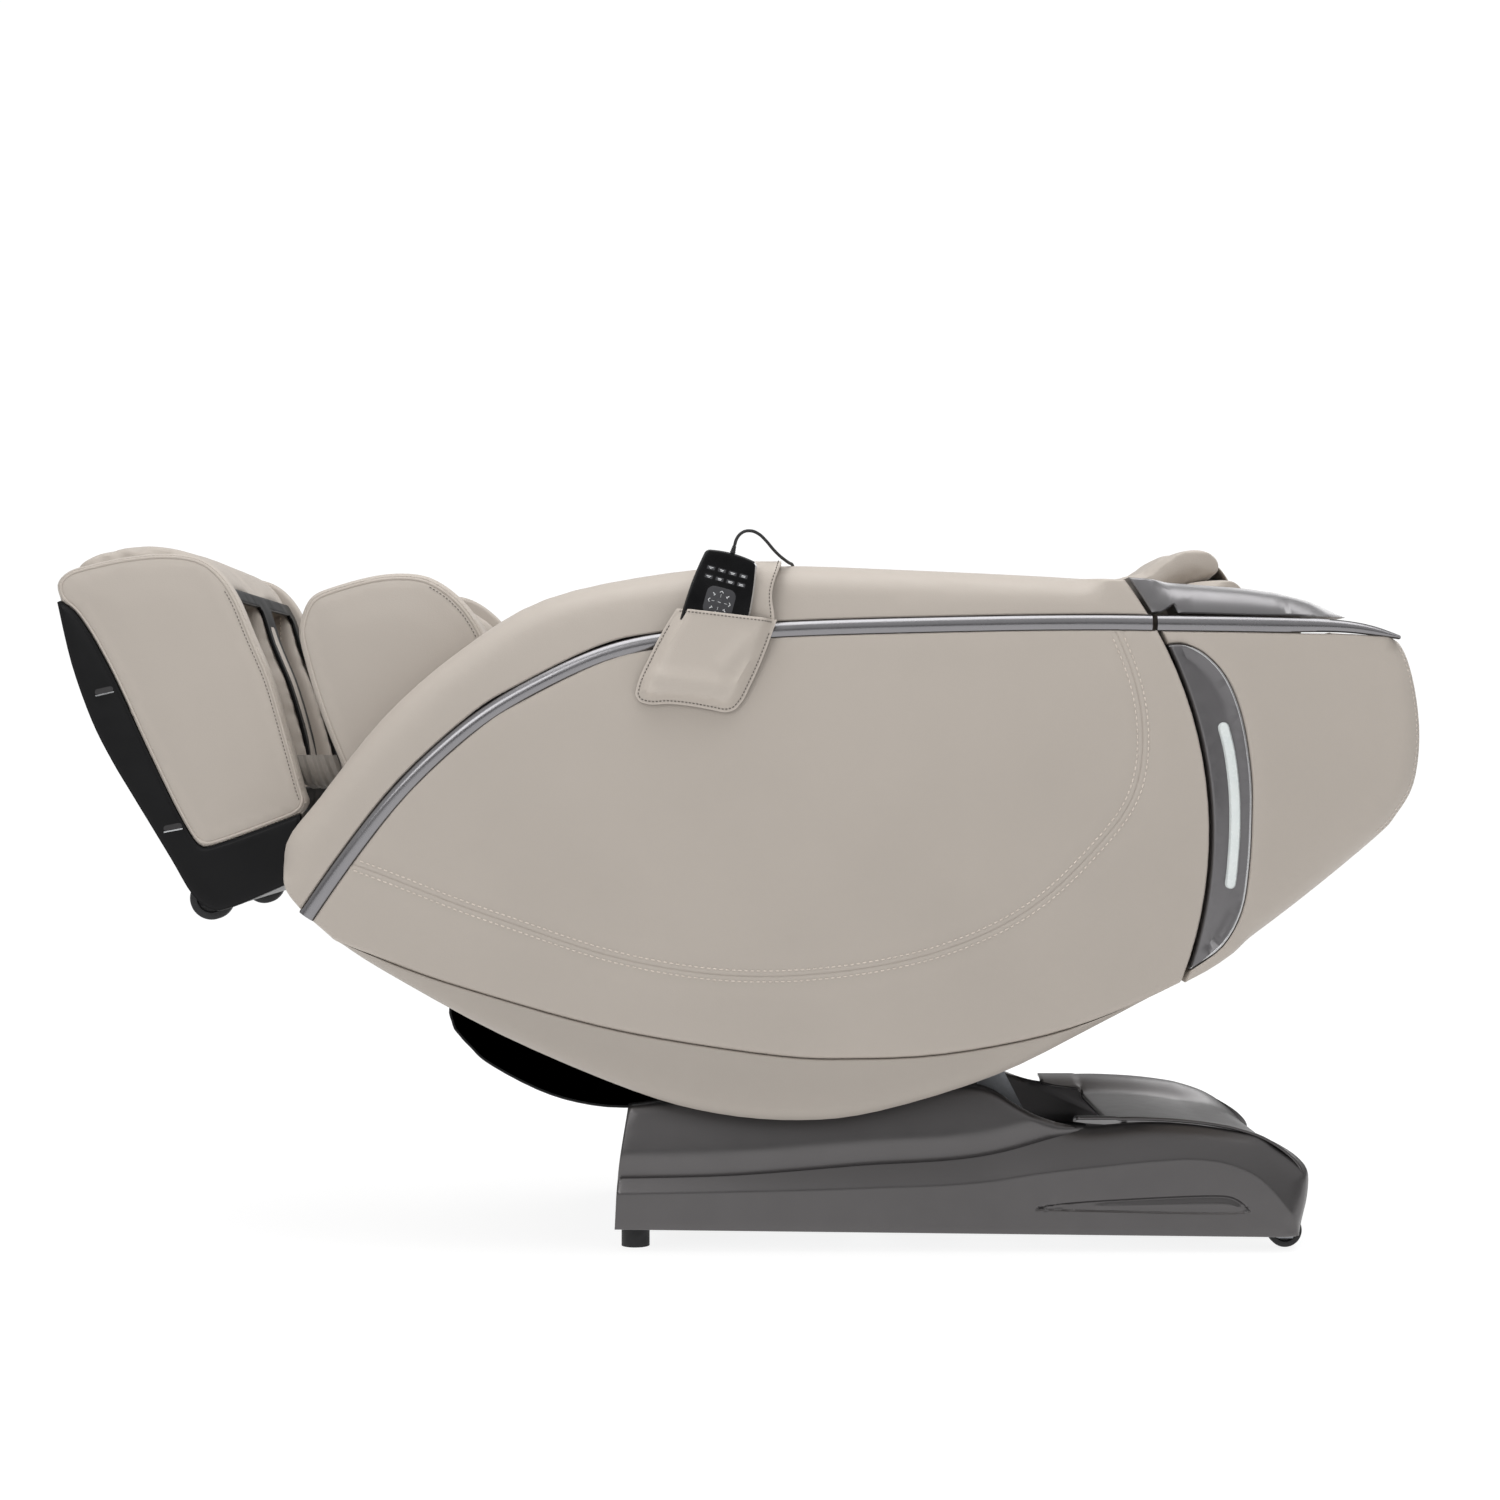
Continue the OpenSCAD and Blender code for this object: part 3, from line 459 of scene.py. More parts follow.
def chained(edges):
    """Closed loops of vertex indices from a list of edges."""
    near = {}
    for a, b in edges:
        near.setdefault(a, []).append(b)
        near.setdefault(b, []).append(a)
    loops = []
    while near:
        here = next(iter(near))
        loop = [here]
        while near.get(here):
            onward = near[here].pop()
            near[onward].remove(here)
            if not near[here]:
                del near[here]
            here = onward
            loop.append(here)
        near.pop(here, None)
        loops.append(loop[:-1] if loop[0] == loop[-1] else loop)
    return loops


def tidy_loop(points):
    """A loop without points that stand closer than 0.3 mm, counter-clockwise."""
    kept = [points[0]]
    for p in points[1:]:
        if np.linalg.norm(p - kept[-1]) > 0.0003:
            kept.append(p)
    if np.linalg.norm(kept[0] - kept[-1]) < 0.0003:
        kept.pop()
    return counter_clockwise(np.array(kept))


def longest_first(loops):
    return sorted(loops, key=lambda p: -np.linalg.norm(np.roll(p, -1, 0) - p, axis=1).sum())


def welded(node):
    mesh = bmesh.new()
    mesh.from_mesh(nodes[node].data)
    bmesh.ops.remove_doubles(mesh, verts=mesh.verts, dist=WELD)
    return mesh


def section(node, y):
    """Outlines, as points (x, z), of a CAD node cut by the plane y. The longest comes first."""
    cut = welded(node)
    bmesh.ops.bisect_plane(
        cut, geom=cut.verts[:] + cut.edges[:] + cut.faces[:], plane_co=(0, y, 0), plane_no=(0, 1, 0),
        clear_inner=True, clear_outer=True)
    bmesh.ops.remove_doubles(cut, verts=cut.verts, dist=WELD)
    cut.verts.ensure_lookup_table()
    places = np.array([(v.co.x, v.co.z) for v in cut.verts])
    loops = chained([(e.verts[0].index, e.verts[1].index) for e in cut.edges])
    cut.free()
    return longest_first([tidy_loop(places[loop]) for loop in loops if len(loop) > 3])


def face_outline(node):
    """Outline, as points (x, z), of a node's outward face on the left side."""
    mesh = welded(node)
    mesh.normal_update()
    front = {f for f in mesh.faces if f.normal.y < -0.7 and f.calc_center_median().y < 0}
    edges = [e for e in mesh.edges if sum(f in front for f in e.link_faces) == 1]
    places = {v.index: np.array((v.co.x, v.co.z)) for v in mesh.verts}
    loops = chained([(e.verts[0].index, e.verts[1].index) for e in edges])
    mesh.free()
    return longest_first([tidy_loop([places[i] for i in loop]) for loop in loops if len(loop) > 3])[0]


def stretches(loop):
    """A loop cut at its sharp corners into open lines, or [] where it has none."""
    ahead = np.roll(loop, -1, 0) - loop
    behind = np.roll(ahead, 1, 0)
    cross = behind[:, 0] * ahead[:, 1] - behind[:, 1] * ahead[:, 0]
    turn = np.abs(np.arctan2(cross, (behind * ahead).sum(1)))
    corners = np.flatnonzero(turn > SHARP)
    twice = np.vstack([loop, loop])
    ends = np.append(corners, corners[:1] + len(loop))
    return [twice[a:b + 1] for a, b in zip(ends, ends[1:])]


def outline(loop, step=STEP):
    """The loop at even steps, smooth between its sharp corners."""
    lines = stretches(loop)
    if not lines:
        return spaced(loop, step, closed=True)
    return np.vstack([spaced(line, step)[:-1] for line in lines])


def long_sides(loop):
    """The two long sides of a ribbon's outline, both in the same direction."""
    a, b = sorted(stretches(loop), key=lambda line: -np.linalg.norm(np.diff(line, axis=0), axis=1).sum())[:2]
    return (a, b[::-1]) if a[0][0] <= a[-1][0] else (a[::-1], b)


def gaps(points, line):
    """Distances from points to each leg of a line, as a table."""
    a, leg = line[:-1], np.diff(line, axis=0)
    t = ((points[:, None] - a) * leg).sum(2) / np.maximum((leg**2).sum(1), 1e-12)
    near = a + np.clip(t, 0, 1)[..., None] * leg
    return np.linalg.norm(points[:, None] - near, axis=2)


def distance(points, line, block=1500):
    """Distance from each point to a line."""
    return np.concatenate([gaps(points[i:i + block], line).min(1) for i in range(0, len(points), block)])


def inside(points, loop):
    """Which points lie inside a closed loop."""
    a, b = loop, np.roll(loop, -1, 0)
    x, z = points[:, :1], points[:, 1:]
    crosses = (a[:, 1] > z) != (b[:, 1] > z)
    with np.errstate(divide="ignore", invalid="ignore"):
        at = a[:, 0] + (z - a[:, 1]) * (b[:, 0] - a[:, 0]) / (b[:, 1] - a[:, 1])
    return (crosses & (x < at)).sum(1) % 2 == 1


# ---------- meshes ----------
def linked(name, mesh):
    piece = bpy.data.objects.new(name, mesh)
    scene.collection.objects.link(piece)
    return piece


def add_piece(name, vertices, faces, material, sharp=math.radians(40)):
    mesh = bpy.data.meshes.new(name)
    mesh.from_pydata([tuple(map(float, v)) for v in vertices], [], [tuple(map(int, f)) for f in faces])
    work = bmesh.new()
    work.from_mesh(mesh)
    bmesh.ops.recalc_face_normals(work, faces=work.faces)
    work.to_mesh(mesh)
    work.free()
    mesh.shade_smooth()
    mesh.set_sharp_from_angle(angle=sharp)
    mesh.materials.append(material)
    return linked(name, mesh)


def placed(piece, body, slot, *replaced):
    """The piece rides on a body and stands for the CAD nodes it hides; slot is not used."""
    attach(piece, body)
    if replaced:
        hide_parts(*replaced)
    return piece


def placed_twice(left, body, slot, *replaced):
    """Places a left-hand piece and its mirrored copy, which stands for the right-hand nodes."""
    mesh = left.data.copy()
    mesh.name = left.name.replace("_left", "_right")
    mesh.transform(Matrix.Scale(-1, 4, (0, 1, 0)))
    mesh.flip_normals()
    right = linked(mesh.name, mesh)
    placed(left, body, slot, *replaced)
    placed(right, body, slot, *(node.replace("_left", "_right") for node in replaced))


def grid_faces(rows, columns, wrap_rows=False, wrap_columns=False, first=0):
    """Quads over a grid of vertices in row order."""
    return [
        (first + i * columns + j, first + i * columns + (j + 1) % columns,
         first + (i + 1) % rows * columns + (j + 1) % columns, first + (i + 1) % rows * columns + j)
        for i in range(rows if wrap_rows else rows - 1)
        for j in range(columns if wrap_columns else columns - 1)
    ]


def loft(name, rows, material, sharp=math.radians(40)):
    """A closed piece through rings of equally many points, with flat ends."""
    rows = np.asarray(rows, float)
    count = rows.shape[1]
    faces = grid_faces(len(rows), count, wrap_columns=True)
    faces += [tuple(range(count - 1, -1, -1)), tuple(range((len(rows) - 1) * count, len(rows) * count))]
    return add_piece(name, rows.reshape(-1, 3), faces, material, sharp)


def carried_frames(line, closed):
    """Two side directions at each point of a space line that turn no more than it does."""
    along = directions(line, closed)
    side = np.cross(along[0], (0, 1, 0) if abs(along[0][1]) < 0.9 else (1, 0, 0))
    sides = []
    for direction in along:
        side = side - direction * (side @ direction)
        side = side / np.linalg.norm(side)
        sides.append(side)
    sides = np.array(sides)
    return sides, np.cross(along, sides)


def tube_rings(line, radius, closed, corners):
    side, up = carried_frames(line, closed)
    angle = np.linspace(0, 2 * math.pi, corners, endpoint=False)
    radius = np.broadcast_to(np.asarray(radius, float), (len(line),))[:, None, None]
    spoke = np.cos(angle)[None, :, None] * side[:, None] + np.sin(angle)[None, :, None] * up[:, None]
    return line[:, None] + radius * spoke


def tube(name, line, radius, material, closed=False, corners=10):
    """A round cord or piping along a space line."""
    line = np.asarray(line, float)
    rings = tube_rings(line, radius, closed, corners)
    if closed:
        return add_piece(name, rings.reshape(-1, 3),
                         grid_faces(len(line), corners, wrap_rows=True, wrap_columns=True), material)
    return loft(name, rings, material)


STITCH = 0.0045      # length of one stitch
STITCH_PITCH = 0.0075
STITCH_CORNERS = 6
# Rings of one stitch: share of its half length, size and rise as shares of its radius
STITCH_RINGS = np.array([(-1, 0.45, -0.3), (-0.72, 0.95, 0.35), (0, 1.1, 0.6), (0.72, 0.95, 0.35), (1, 0.45, -0.3)])


def stitch_row(line, normals, radius, length, pitch):
    """Vertices and faces of a row of stitches on a surface line with its normals."""
    reach = np.linalg.norm(np.diff(line, axis=0), axis=1)
    along = np.concatenate([[0], np.cumsum(reach)])
    centres = np.arange(pitch / 2, along[-1] - pitch / 3, pitch)

    def at(values, where):
        return np.column_stack([np.interp(where, along, values[:, k]) for k in range(3)])

    middle, normal = at(line, centres), at(normals, centres)
    direction = at(line, centres + length / 2) - at(line, centres - length / 2)
    direction /= np.linalg.norm(direction, axis=1)[:, None]
    normal /= np.linalg.norm(normal, axis=1)[:, None]
    side = np.cross(direction, normal)
    shares, sizes, rise = STITCH_RINGS.T
    angles = np.linspace(0, 2 * math.pi, STITCH_CORNERS, endpoint=False)
    rings = (middle[:, None] + direction[:, None] * (shares * length / 2)[None, :, None]
             + normal[:, None] * (rise * radius)[None, :, None])
    spokes = side[:, None] * np.cos(angles)[None, :, None] + normal[:, None] * np.sin(angles)[None, :, None]
    vertices = rings[:, :, None] + spokes[:, None] * (sizes * radius)[None, :, None, None]
    total = STITCH_CORNERS * len(STITCH_RINGS)
    one = grid_faces(len(STITCH_RINGS), STITCH_CORNERS, wrap_columns=True)
    one += [tuple(range(STITCH_CORNERS)), tuple(range(total - 1, total - 1 - STITCH_CORNERS, -1))]
    faces = [tuple(total * k + i for i in face) for k in range(len(centres)) for face in one]
    return vertices.reshape(-1, 3), faces


def stitches(name, rows, material=thread, radius=0.0006, length=STITCH, pitch=STITCH_PITCH):
    """Rows of stitches, each given as (line, normals), as one piece."""
    vertices, faces = [], []
    for line, normals in rows:
        v, f = stitch_row(line, normals, radius, length, pitch)
        faces += [tuple(len(vertices) + i for i in face) for face in f]
        vertices += list(v)
    return add_piece(name, vertices, faces, material, math.radians(80))


class Scatter:
    """Points of a plane that keep apart from each other."""
    CELL = 0.003

    def __init__(self):
        self.cells, self.points = {}, []

    def add(self, points, gap):
        reach = math.ceil(gap / self.CELL)
        for p in points:
            i, j = int(p[0] // self.CELL), int(p[1] // self.CELL)
            near = (q for a in range(i - reach, i + reach + 1) for b in range(j - reach, j + reach + 1)
                    for q in self.cells.get((a, b), ()))
            if all((p[0] - q[0])**2 + (p[1] - q[1])**2 > gap * gap for q in near):
                self.cells.setdefault((i, j), []).append(p)
                self.points.append(p)


class Cover:
    """The outer face of a shell or pad: its distance out from the centre plane over points (x, z).

    face gives it in the open, and it rounds off towards the edge: rounding says how wide and how
    deep for an edge point and its outward direction. relief adds seams and creases.
    """

    def __init__(self, loop, face, rounding, relief=None, step=STEP):
        self.edge = outline(loop, step)
        self.ring = np.vstack([self.edge, self.edge[:1]])
        along = directions(self.edge, closed=True)
        self.inward = np.column_stack([-along[:, 1], along[:, 0]])
        sizes = np.array([rounding(p, -n) for p, n in zip(self.edge, self.inward)], float)
        self.width, self.depth = smoothed(sizes, 6, closed=True).T
        self.face, self.relief = face, relief

    def out(self, points):
        return np.concatenate([self._out(points[i:i + 1200]) for i in range(0, len(points), 1200)])

    def _out(self, points):
        gap = gaps(points, self.ring)
        near = np.clip(1 - gap / self.width, 0, 1)
        drop = (self.depth * (1 - np.sqrt(1 - near**2))).max(1)
        out = self.face(points) - drop
        if self.relief:
            out = out + self.relief(points, gap.min(1))
        return out

    def lifted(self, line, proud=0.0):
        """A line of points (x, z) laid on the left-hand face, with its normals."""
        h = 0.0008
        out = self.out(line)
        by_x = (self.out(line + (h, 0)) - self.out(line - (h, 0))) / (2 * h)
        by_z = (self.out(line + (0, h)) - self.out(line - (0, h))) / (2 * h)
        normal = np.column_stack([-by_x, -np.ones(len(line)), -by_z])
        normal /= np.linalg.norm(normal, axis=1)[:, None]
        return np.column_stack([line[:, 0], -out, line[:, 1]]) + proud * normal, normal

    def stretch_of(self, chosen):
        """The chosen points of the edge, in order from where the stretch starts."""
        start = next(i for i in range(len(chosen)) if chosen[i] and not chosen[i - 1])
        return np.roll(self.edge, -start, 0)[np.roll(chosen, -start)]

    def along_edge(self, inset):
        """A smooth closed line inside the edge, at an even distance from it."""
        line = self.edge + inset * self.inward
        line = line[(distance(line, self.ring) > 0.97 * inset) & inside(line, self.edge)]
        return smoothed(spaced(line, 0.003, closed=True), 12, closed=True)


RING_ANGLES = np.radians([24, 46, 68, 90])
WALL_ANGLES = np.radians([0, 30, 60, 90])


def cover_piece(name, cover, back, material, step=0.013, back_round=0.002, lines=()):
    """The mesh of a cover: rings along its edge, rows beside its seam lines, an even field
    between them, a wall to the plane |y| = back and a flat back."""
    edge, count = cover.edge, len(cover.edge)
    spots = Scatter()
    spots.add(edge, 0.0)
    for angle in RING_ANGLES:
        inset = cover.width * (1 - math.cos(angle))
        ring = edge + cover.inward * inset[:, None]
        good = (distance(ring, cover.ring) > 0.9 * inset) & inside(ring, edge) & (inset > 0.0006)
        spots.add(ring[good], 0.0011)
    for line, offsets in lines:
        for offset in offsets:
            row = beside(line, offset)
            row = row[inside(row, edge)]
            if len(row):
                spots.add(row[distance(row, cover.ring) > 0.002], 0.0007)
    low, high = edge.min(0), edge.max(0)
    xs = np.arange(low[0], high[0], step)
    zs = np.arange(low[1], high[1], step * 0.866)
    field = np.array([(x + (k % 2) * step / 2, z) for k, z in enumerate(zs) for x in xs])
    field = field[inside(field, edge)]
    field = field[distance(field, cover.ring) > 0.004]
    spots.add(field, 0.6 * step)
    flat, _, triangles, origins, _, _ = delaunay_2d_cdt(
        [Vector(p) for p in spots.points], [(i, (i + 1) % count) for i in range(count)], [], 1, 1e-7)
    flat = np.array([tuple(p) for p in flat])
    renamed = {old: new for new, olds in enumerate(origins) for old in olds}
    out = cover.out(flat)
    vertices = [(x, -o, z) for (x, z), o in zip(flat, out)]
    faces = [tuple(t) for t in triangles]
    before = [renamed[i] for i in range(count)]
    brim = out[before]
    for angle in WALL_ANGLES:
        inset = edge + cover.inward * back_round * (1 - math.cos(angle))
        depth = np.minimum(back + back_round * (1 - math.sin(angle)), brim - 1e-4)
        first = len(vertices)
        vertices += [(x, -d, z) for (x, z), d in zip(inset, depth)]
        here = [first + i for i in range(count)]
        faces += [(before[i], before[(i + 1) % count], here[(i + 1) % count], here[i]) for i in range(count)]
        before = here
    faces.append(tuple(before))
    return add_piece(name, vertices, faces, material)


def groove(gap, width, depth):
    """A rounded groove at distance 0 from a line."""
    return -depth * np.exp(-(gap / width)**2)


def step_up(gap, start, end, height):
    """A smooth rise from 0 at start to height at end."""
    t = np.clip((gap - start) / (end - start), 0, 1)
    return height * t * t * (3 - 2 * t)


# ---------- side shells ----------
SWELL_R = 1.8        # radius of the outward swell of the side shells
SWELL_Z = 0.65
PANEL_HALF = -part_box("side_panel_left")[0].y
SHELL_HALF = -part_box("trim_strips")[0].y
BOARD_OUT = -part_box("side_panel_left")[1].y
ARM_INNER = -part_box("armrest_left")[1].y


def swell(half):
    """The face of a side shell whose fullest line is `half` from the centre plane."""
    return lambda p: half - (SWELL_R - np.sqrt(SWELL_R**2 - (p[:, 1] - SWELL_Z)**2))


def rounding(rules, default=(0.003, 0.0025)):
    """Edge sizes by place and outward direction: the first rule that holds gives them."""
    return lambda p, n: next((size for holds, size in rules if holds(p, n)), default)


# The curved double seam of the side panel, from the trim strip's foot round to its top
MAIN_SEAM = smoothed(spaced([
    (-0.514, 0.549), (-0.454, 0.527), (-0.366, 0.491), (-0.312, 0.473), (-0.150, 0.419), (0.012, 0.395),
    (0.161, 0.403), (0.296, 0.433), (0.417, 0.494), (0.498, 0.575), (0.547, 0.635), (0.559, 0.703),
    (0.559, 0.731), (0.554, 0.779), (0.536, 0.834), (0.523, 0.862)], 0.004), 160)
SEAM_HALF = 0.0075   # from the seam to each of its rows of stitches


def main_seam_relief(points, _):
    gap = distance(points, MAIN_SEAM)
    return (groove(gap, 0.0011, 0.0012) + groove(gap - SEAM_HALF, 0.0014, 0.0006)
            + groove(gap - SEAM_HALF / 2, 0.0028, -0.0004))


def build_side_panel():
    cover = Cover(face_outline("side_panel_left"), swell(PANEL_HALF),
                  rounding([(lambda p, n: n[1] < -0.5 and p[1] < 0.5, (0.009, 0.005))]), main_seam_relief)
    offsets = [0] + [sign * gap for gap in (0.0009, 0.0024, 0.0045, 0.0066, 0.0082, 0.0105) for sign in (1, -1)]
    panel = cover_piece("side_panel_leather_left", cover, BOARD_OUT, leather_shell, lines=[(MAIN_SEAM, offsets)])
    rows = []
    for side in (-SEAM_HALF, SEAM_HALF):
        row = beside(MAIN_SEAM, side)
        row = row[inside(row, cover.edge)]
        rows.append(cover.lifted(row[distance(row, cover.ring) > 0.004]))
    return panel, stitches("side_panel_stitches_left", rows, thread, 0.00095, 0.0055, 0.0085)


def build_armrest():
    cover = Cover(face_outline("armrest_left"), swell(PANEL_HALF),
                  rounding([(lambda p, n: n[1] - 0.5 * n[0] > 0.35 and p[0] < 0.50, (0.034, 0.05))]))
    return cover_piece("armrest_leather_left", cover, ARM_INNER, leather_shell, back_round=0.014)


def build_lower_skirt():
    cover = Cover(face_outline("lower_skirts"), swell(PANEL_HALF - 0.0005),
                  rounding([(lambda p, n: n[1] < -0.3, (0.022, 0.026))], (0.004, 0.003)))
    # The skirt takes the darker copy of the shell leather: painted shade
    return cover_piece("lower_skirt_left", cover, BOARD_OUT, leather_skirt_painted_shade)


def build_strip(name, node, back, end=None):
    """A trim strip: a crowned face between its two long sides, with walls to |y| = back. end adds
    points to its upper and lower side, where it runs out past the frame's solid."""
    a, b = long_sides(face_outline(node))
    if a[:, 1].mean() < b[:, 1].mean():
        a, b = b, a
    if end:
        a = np.vstack([a[a[:, 0] < end[0][0][0]], end[0]])
        b = np.vstack([b[b[:, 0] < end[1][0][0]], end[1]])
    a, b = spaced(a, STEP), spaced(b, STEP)
    count = min(len(a), len(b))
    a, b = (smoothed(resampled(line, count), 80) for line in (a, b))
    across = [-1, *np.linspace(-0.96, 0.96, 13), 1]
    profile = [(-1, back)] + [(s, None) for s in across] + [(1, back)]
    face = swell(SHELL_HALF)
    rows = []
    for pa, pb in zip(a, b):
        ring = []
        for s, out in profile:
            p = (pa + pb) / 2 + s * (pb - pa) / 2
            if out is None:
                out = float(face(p[None])[0]) - 0.0045 * abs(s)**2.4 - (0.0015 if abs(s) > 0.99 else 0)
            ring.append((p[0], -out, p[1]))
        rows.append(ring)
    strip = loft(name, rows, strip_metal)
    # The faces along the strip's two sides take the near-black gap material: painted shade of the seams beside the
    # strip
    strip.data.materials.append(gap_painted_shade)
    sides = np.vstack([a, b[::-1]])
    for polygon in strip.data.polygons:
        if distance(np.array([[polygon.center.x, polygon.center.z]]), sides)[0] < 0.0011:
            polygon.material_index = 1
    return strip


panel, panel_rows = build_side_panel()
placed_twice(panel, "seat", "leather", "side_panel_left")
placed_twice(panel_rows, "seat", "leather")
placed_twice(build_armrest(), "seat", "leather", "armrest_left")
placed_twice(build_lower_skirt(), "seat", "leather", "lower_skirts")
placed_twice(build_strip("trim_strip_left", "trim_strips", 0.366), "seat", "trim_metal", "trim_strips")


# ---------- backrest covers ----------
def build_back_panel():
    loop = face_outline("back_side_panel_left")
    rear = [(lambda p, n: p[0] > 0.70 and n[0] > 0.05 and n[1] < 0.8, (0.035, 0.05)),
            (lambda p, n: n[1] < -0.4 and n[0] > 0, (0.02, 0.02))]
    cover = Cover(loop, swell(PANEL_HALF), rounding(rear),
                  lambda p, gap: groove(gap - 0.0085, 0.0009, 0.0008) * (p[:, 0] > 0.80))
    line = cover.stretch_of((cover.edge[:, 0] > 0.88) & (-cover.inward[:, 0] > 0.55))
    rows = []
    for inset in (0.0060, 0.0110):
        row = spaced(beside(line, inset), 0.004)
        row = row[inside(row, cover.edge)]
        rows.append(cover.lifted(row[distance(row, cover.ring) > 0.9 * inset]))
    seam = spaced(beside(line, 0.0085), 0.004)
    panel = cover_piece("back_panel_leather_left", cover, ARM_INNER, leather_shell,
                        lines=[(seam, [0, 0.001, -0.001, 0.003, -0.003])])
    return panel, stitches("back_panel_stitches_left", rows)


def build_shoulder_cover():
    """The metal cover over the shoulder, a little fuller on top than its solid."""
    loop = outline(face_outline("shoulder_covers"))
    x, z = loop.T
    fuller = np.interp(x, [0.541, 0.652, 0.697, 0.749, 0.795, 0.822, 0.839],
                       [0.9346, 0.9292, 0.9262, 0.9211, 0.9089, 0.8953, 0.8804])
    lift = np.clip((x - 0.585) / 0.06, 0, 1) * np.maximum(0, fuller - z)
    loop[:, 1] = np.where(z > 0.8895, z + lift, z)
    cover = Cover(loop, swell(PANEL_HALF + 0.001),
                  rounding([(lambda p, n: n[1] > 0.35 and p[0] > 0.59, (0.03, 0.06))]))
    return cover_piece("shoulder_cover_left", cover, ARM_INNER, cover_metal, back_round=0.008)


RIM = 0.0045         # width of the bright rim round the side light's insert


def build_light_insert():
    """Grey frame round the side light, with a raised rim."""
    cover = Cover(face_outline("light_trims"), swell(PANEL_HALF - 0.002), rounding([], (0.004, 0.003)),
                  lambda p, gap: -step_up(gap, RIM, RIM + 0.012, 0.0075))
    return cover_piece("light_insert_left", cover, 0.350, insert_paint, step=0.009)


def build_light_rim():
    """Bright bead along the insert's rear edge."""
    rear = max(stretches(face_outline("light_trims")), key=lambda line: line[:, 0].mean())
    line = spaced(rear, 0.004)
    if line[0][1] > line[-1][1]:
        line = line[::-1]
    line = beside(line, 0.0022)
    out = swell(PANEL_HALF - 0.0035)(line)
    sizes = 0.0021 * np.clip(np.minimum(np.arange(len(line)), np.arange(len(line))[::-1]) / 10, 0.2, 1)
    return tube("light_rim_left", np.column_stack([line[:, 0], -out, line[:, 1]]), sizes, insert_rim)


def build_lens():
    """The side light's lens, a bent capsule."""
    a, b = (spaced(side, 0.004) for side in long_sides(face_outline("light_lenses")))
    count = min(len(a), len(b))
    middle = spaced((a[:count] + b[:count]) / 2, 0.004)
    half = np.linalg.norm(a[count // 2] - b[count // 2]) / 2
    middle = middle[1:-1]
    along = directions(middle)
    across = np.column_stack([-along[:, 1], along[:, 0]])
    turns = np.radians([22, 45, 67, 90, 113, 135, 158])
    caps = []
    for tip, forward, side in ((middle[-1], along[-1], across[-1]), (middle[0], -along[0], -across[0])):
        caps.append(tip + half * np.array([math.cos(t) * side + math.sin(t) * forward for t in turns]))
    loop = np.vstack([middle + half * across, caps[0], (middle - half * across)[::-1], caps[1]])
    cover = Cover(counter_clockwise(loop), swell(PANEL_HALF - 0.0045), rounding([], (0.0035, 0.003)),
                  step=0.003)
    return cover_piece("side_light_lens_left", cover, 0.378, lens, step=0.006)


# The rear end of the trim strip: points of its upper and of its lower side
STRIP_END = (
    ((0.8450, 0.8774), (0.8750, 0.8770), (0.8900, 0.8752), (0.9000, 0.8710), (0.9060, 0.8650), (0.9082, 0.8585)),
    ((0.8120, 0.8632), (0.8600, 0.8600), (0.8850, 0.8570), (0.9078, 0.8535)))
back_panel, back_rows = build_back_panel()
placed_twice(back_panel, "backrest", "leather", "back_side_panel_left")
placed_twice(back_rows, "backrest", "leather")
placed_twice(build_shoulder_cover(), "backrest", "gunmetal", "shoulder_covers")
placed_twice(build_light_insert(), "backrest", "insert_plastic", "light_trims")
placed_twice(build_light_rim(), "backrest", "insert_plastic", "light_trims")
placed_twice(build_lens(), "backrest", "lens", "light_lenses")
placed_twice(build_strip("back_trim_strip_left", "back_trim_strips", 0.376, STRIP_END), "backrest", "trim_metal",
             "back_trim_strips")


# ---------- base ----------
BASE_HALF = -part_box("base_side_cover_left")[0].y
BASE_IN = -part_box("base_side_cover_left")[1].y
CENTRE_COVERS = "base_centre_covers"
CENTRE_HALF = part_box(CENTRE_COVERS)[1].y
# Two creases run along each side cover, with a band between them that leans in
UPPER_CREASE = spaced([
    (-0.175, 0.102), (-0.005, 0.106), (0.172, 0.119), (0.375, 0.137), (0.450, 0.157), (0.484, 0.166),
    (0.540, 0.190), (0.600, 0.230)], 0.004)
LOWER_CREASE = spaced([
    (-0.175, 0.081), (-0.005, 0.084), (0.172, 0.089), (0.375, 0.101), (0.418, 0.108), (0.517, 0.120),
    (0.600, 0.128), (0.649, 0.130), (0.692, 0.124), (0.731, 0.108), (0.763, 0.078), (0.787, 0.042),
    (0.794, 0.015)], 0.004)
TEARDROP = np.array([
    (0.408, 0.059), (0.450, 0.070), (0.583, 0.078), (0.682, 0.082), (0.705, 0.078), (0.722, 0.064),
    (0.731, 0.053), (0.615, 0.054), (0.501, 0.057)])
for _ in range(3):   # cut its corners, to round it
    onward = np.roll(TEARDROP, -1, 0)
    TEARDROP = np.stack([0.75 * TEARDROP + 0.25 * onward, 0.25 * TEARDROP + 0.75 * onward], 1).reshape(-1, 2)
TEARDROP_EDGE = spaced(np.vstack([TEARDROP, TEARDROP[:1]]), 0.004)
CHAMFER = 0.50       # how steeply the band between the creases leans in


def above(points, line):
    """Distance of points above a line that runs along +X; negative below it."""
    side = np.where(points[:, 1] > np.interp(points[:, 0], line[:, 0], line[:, 1]), 1, -1)
    return side * distance(points, line)


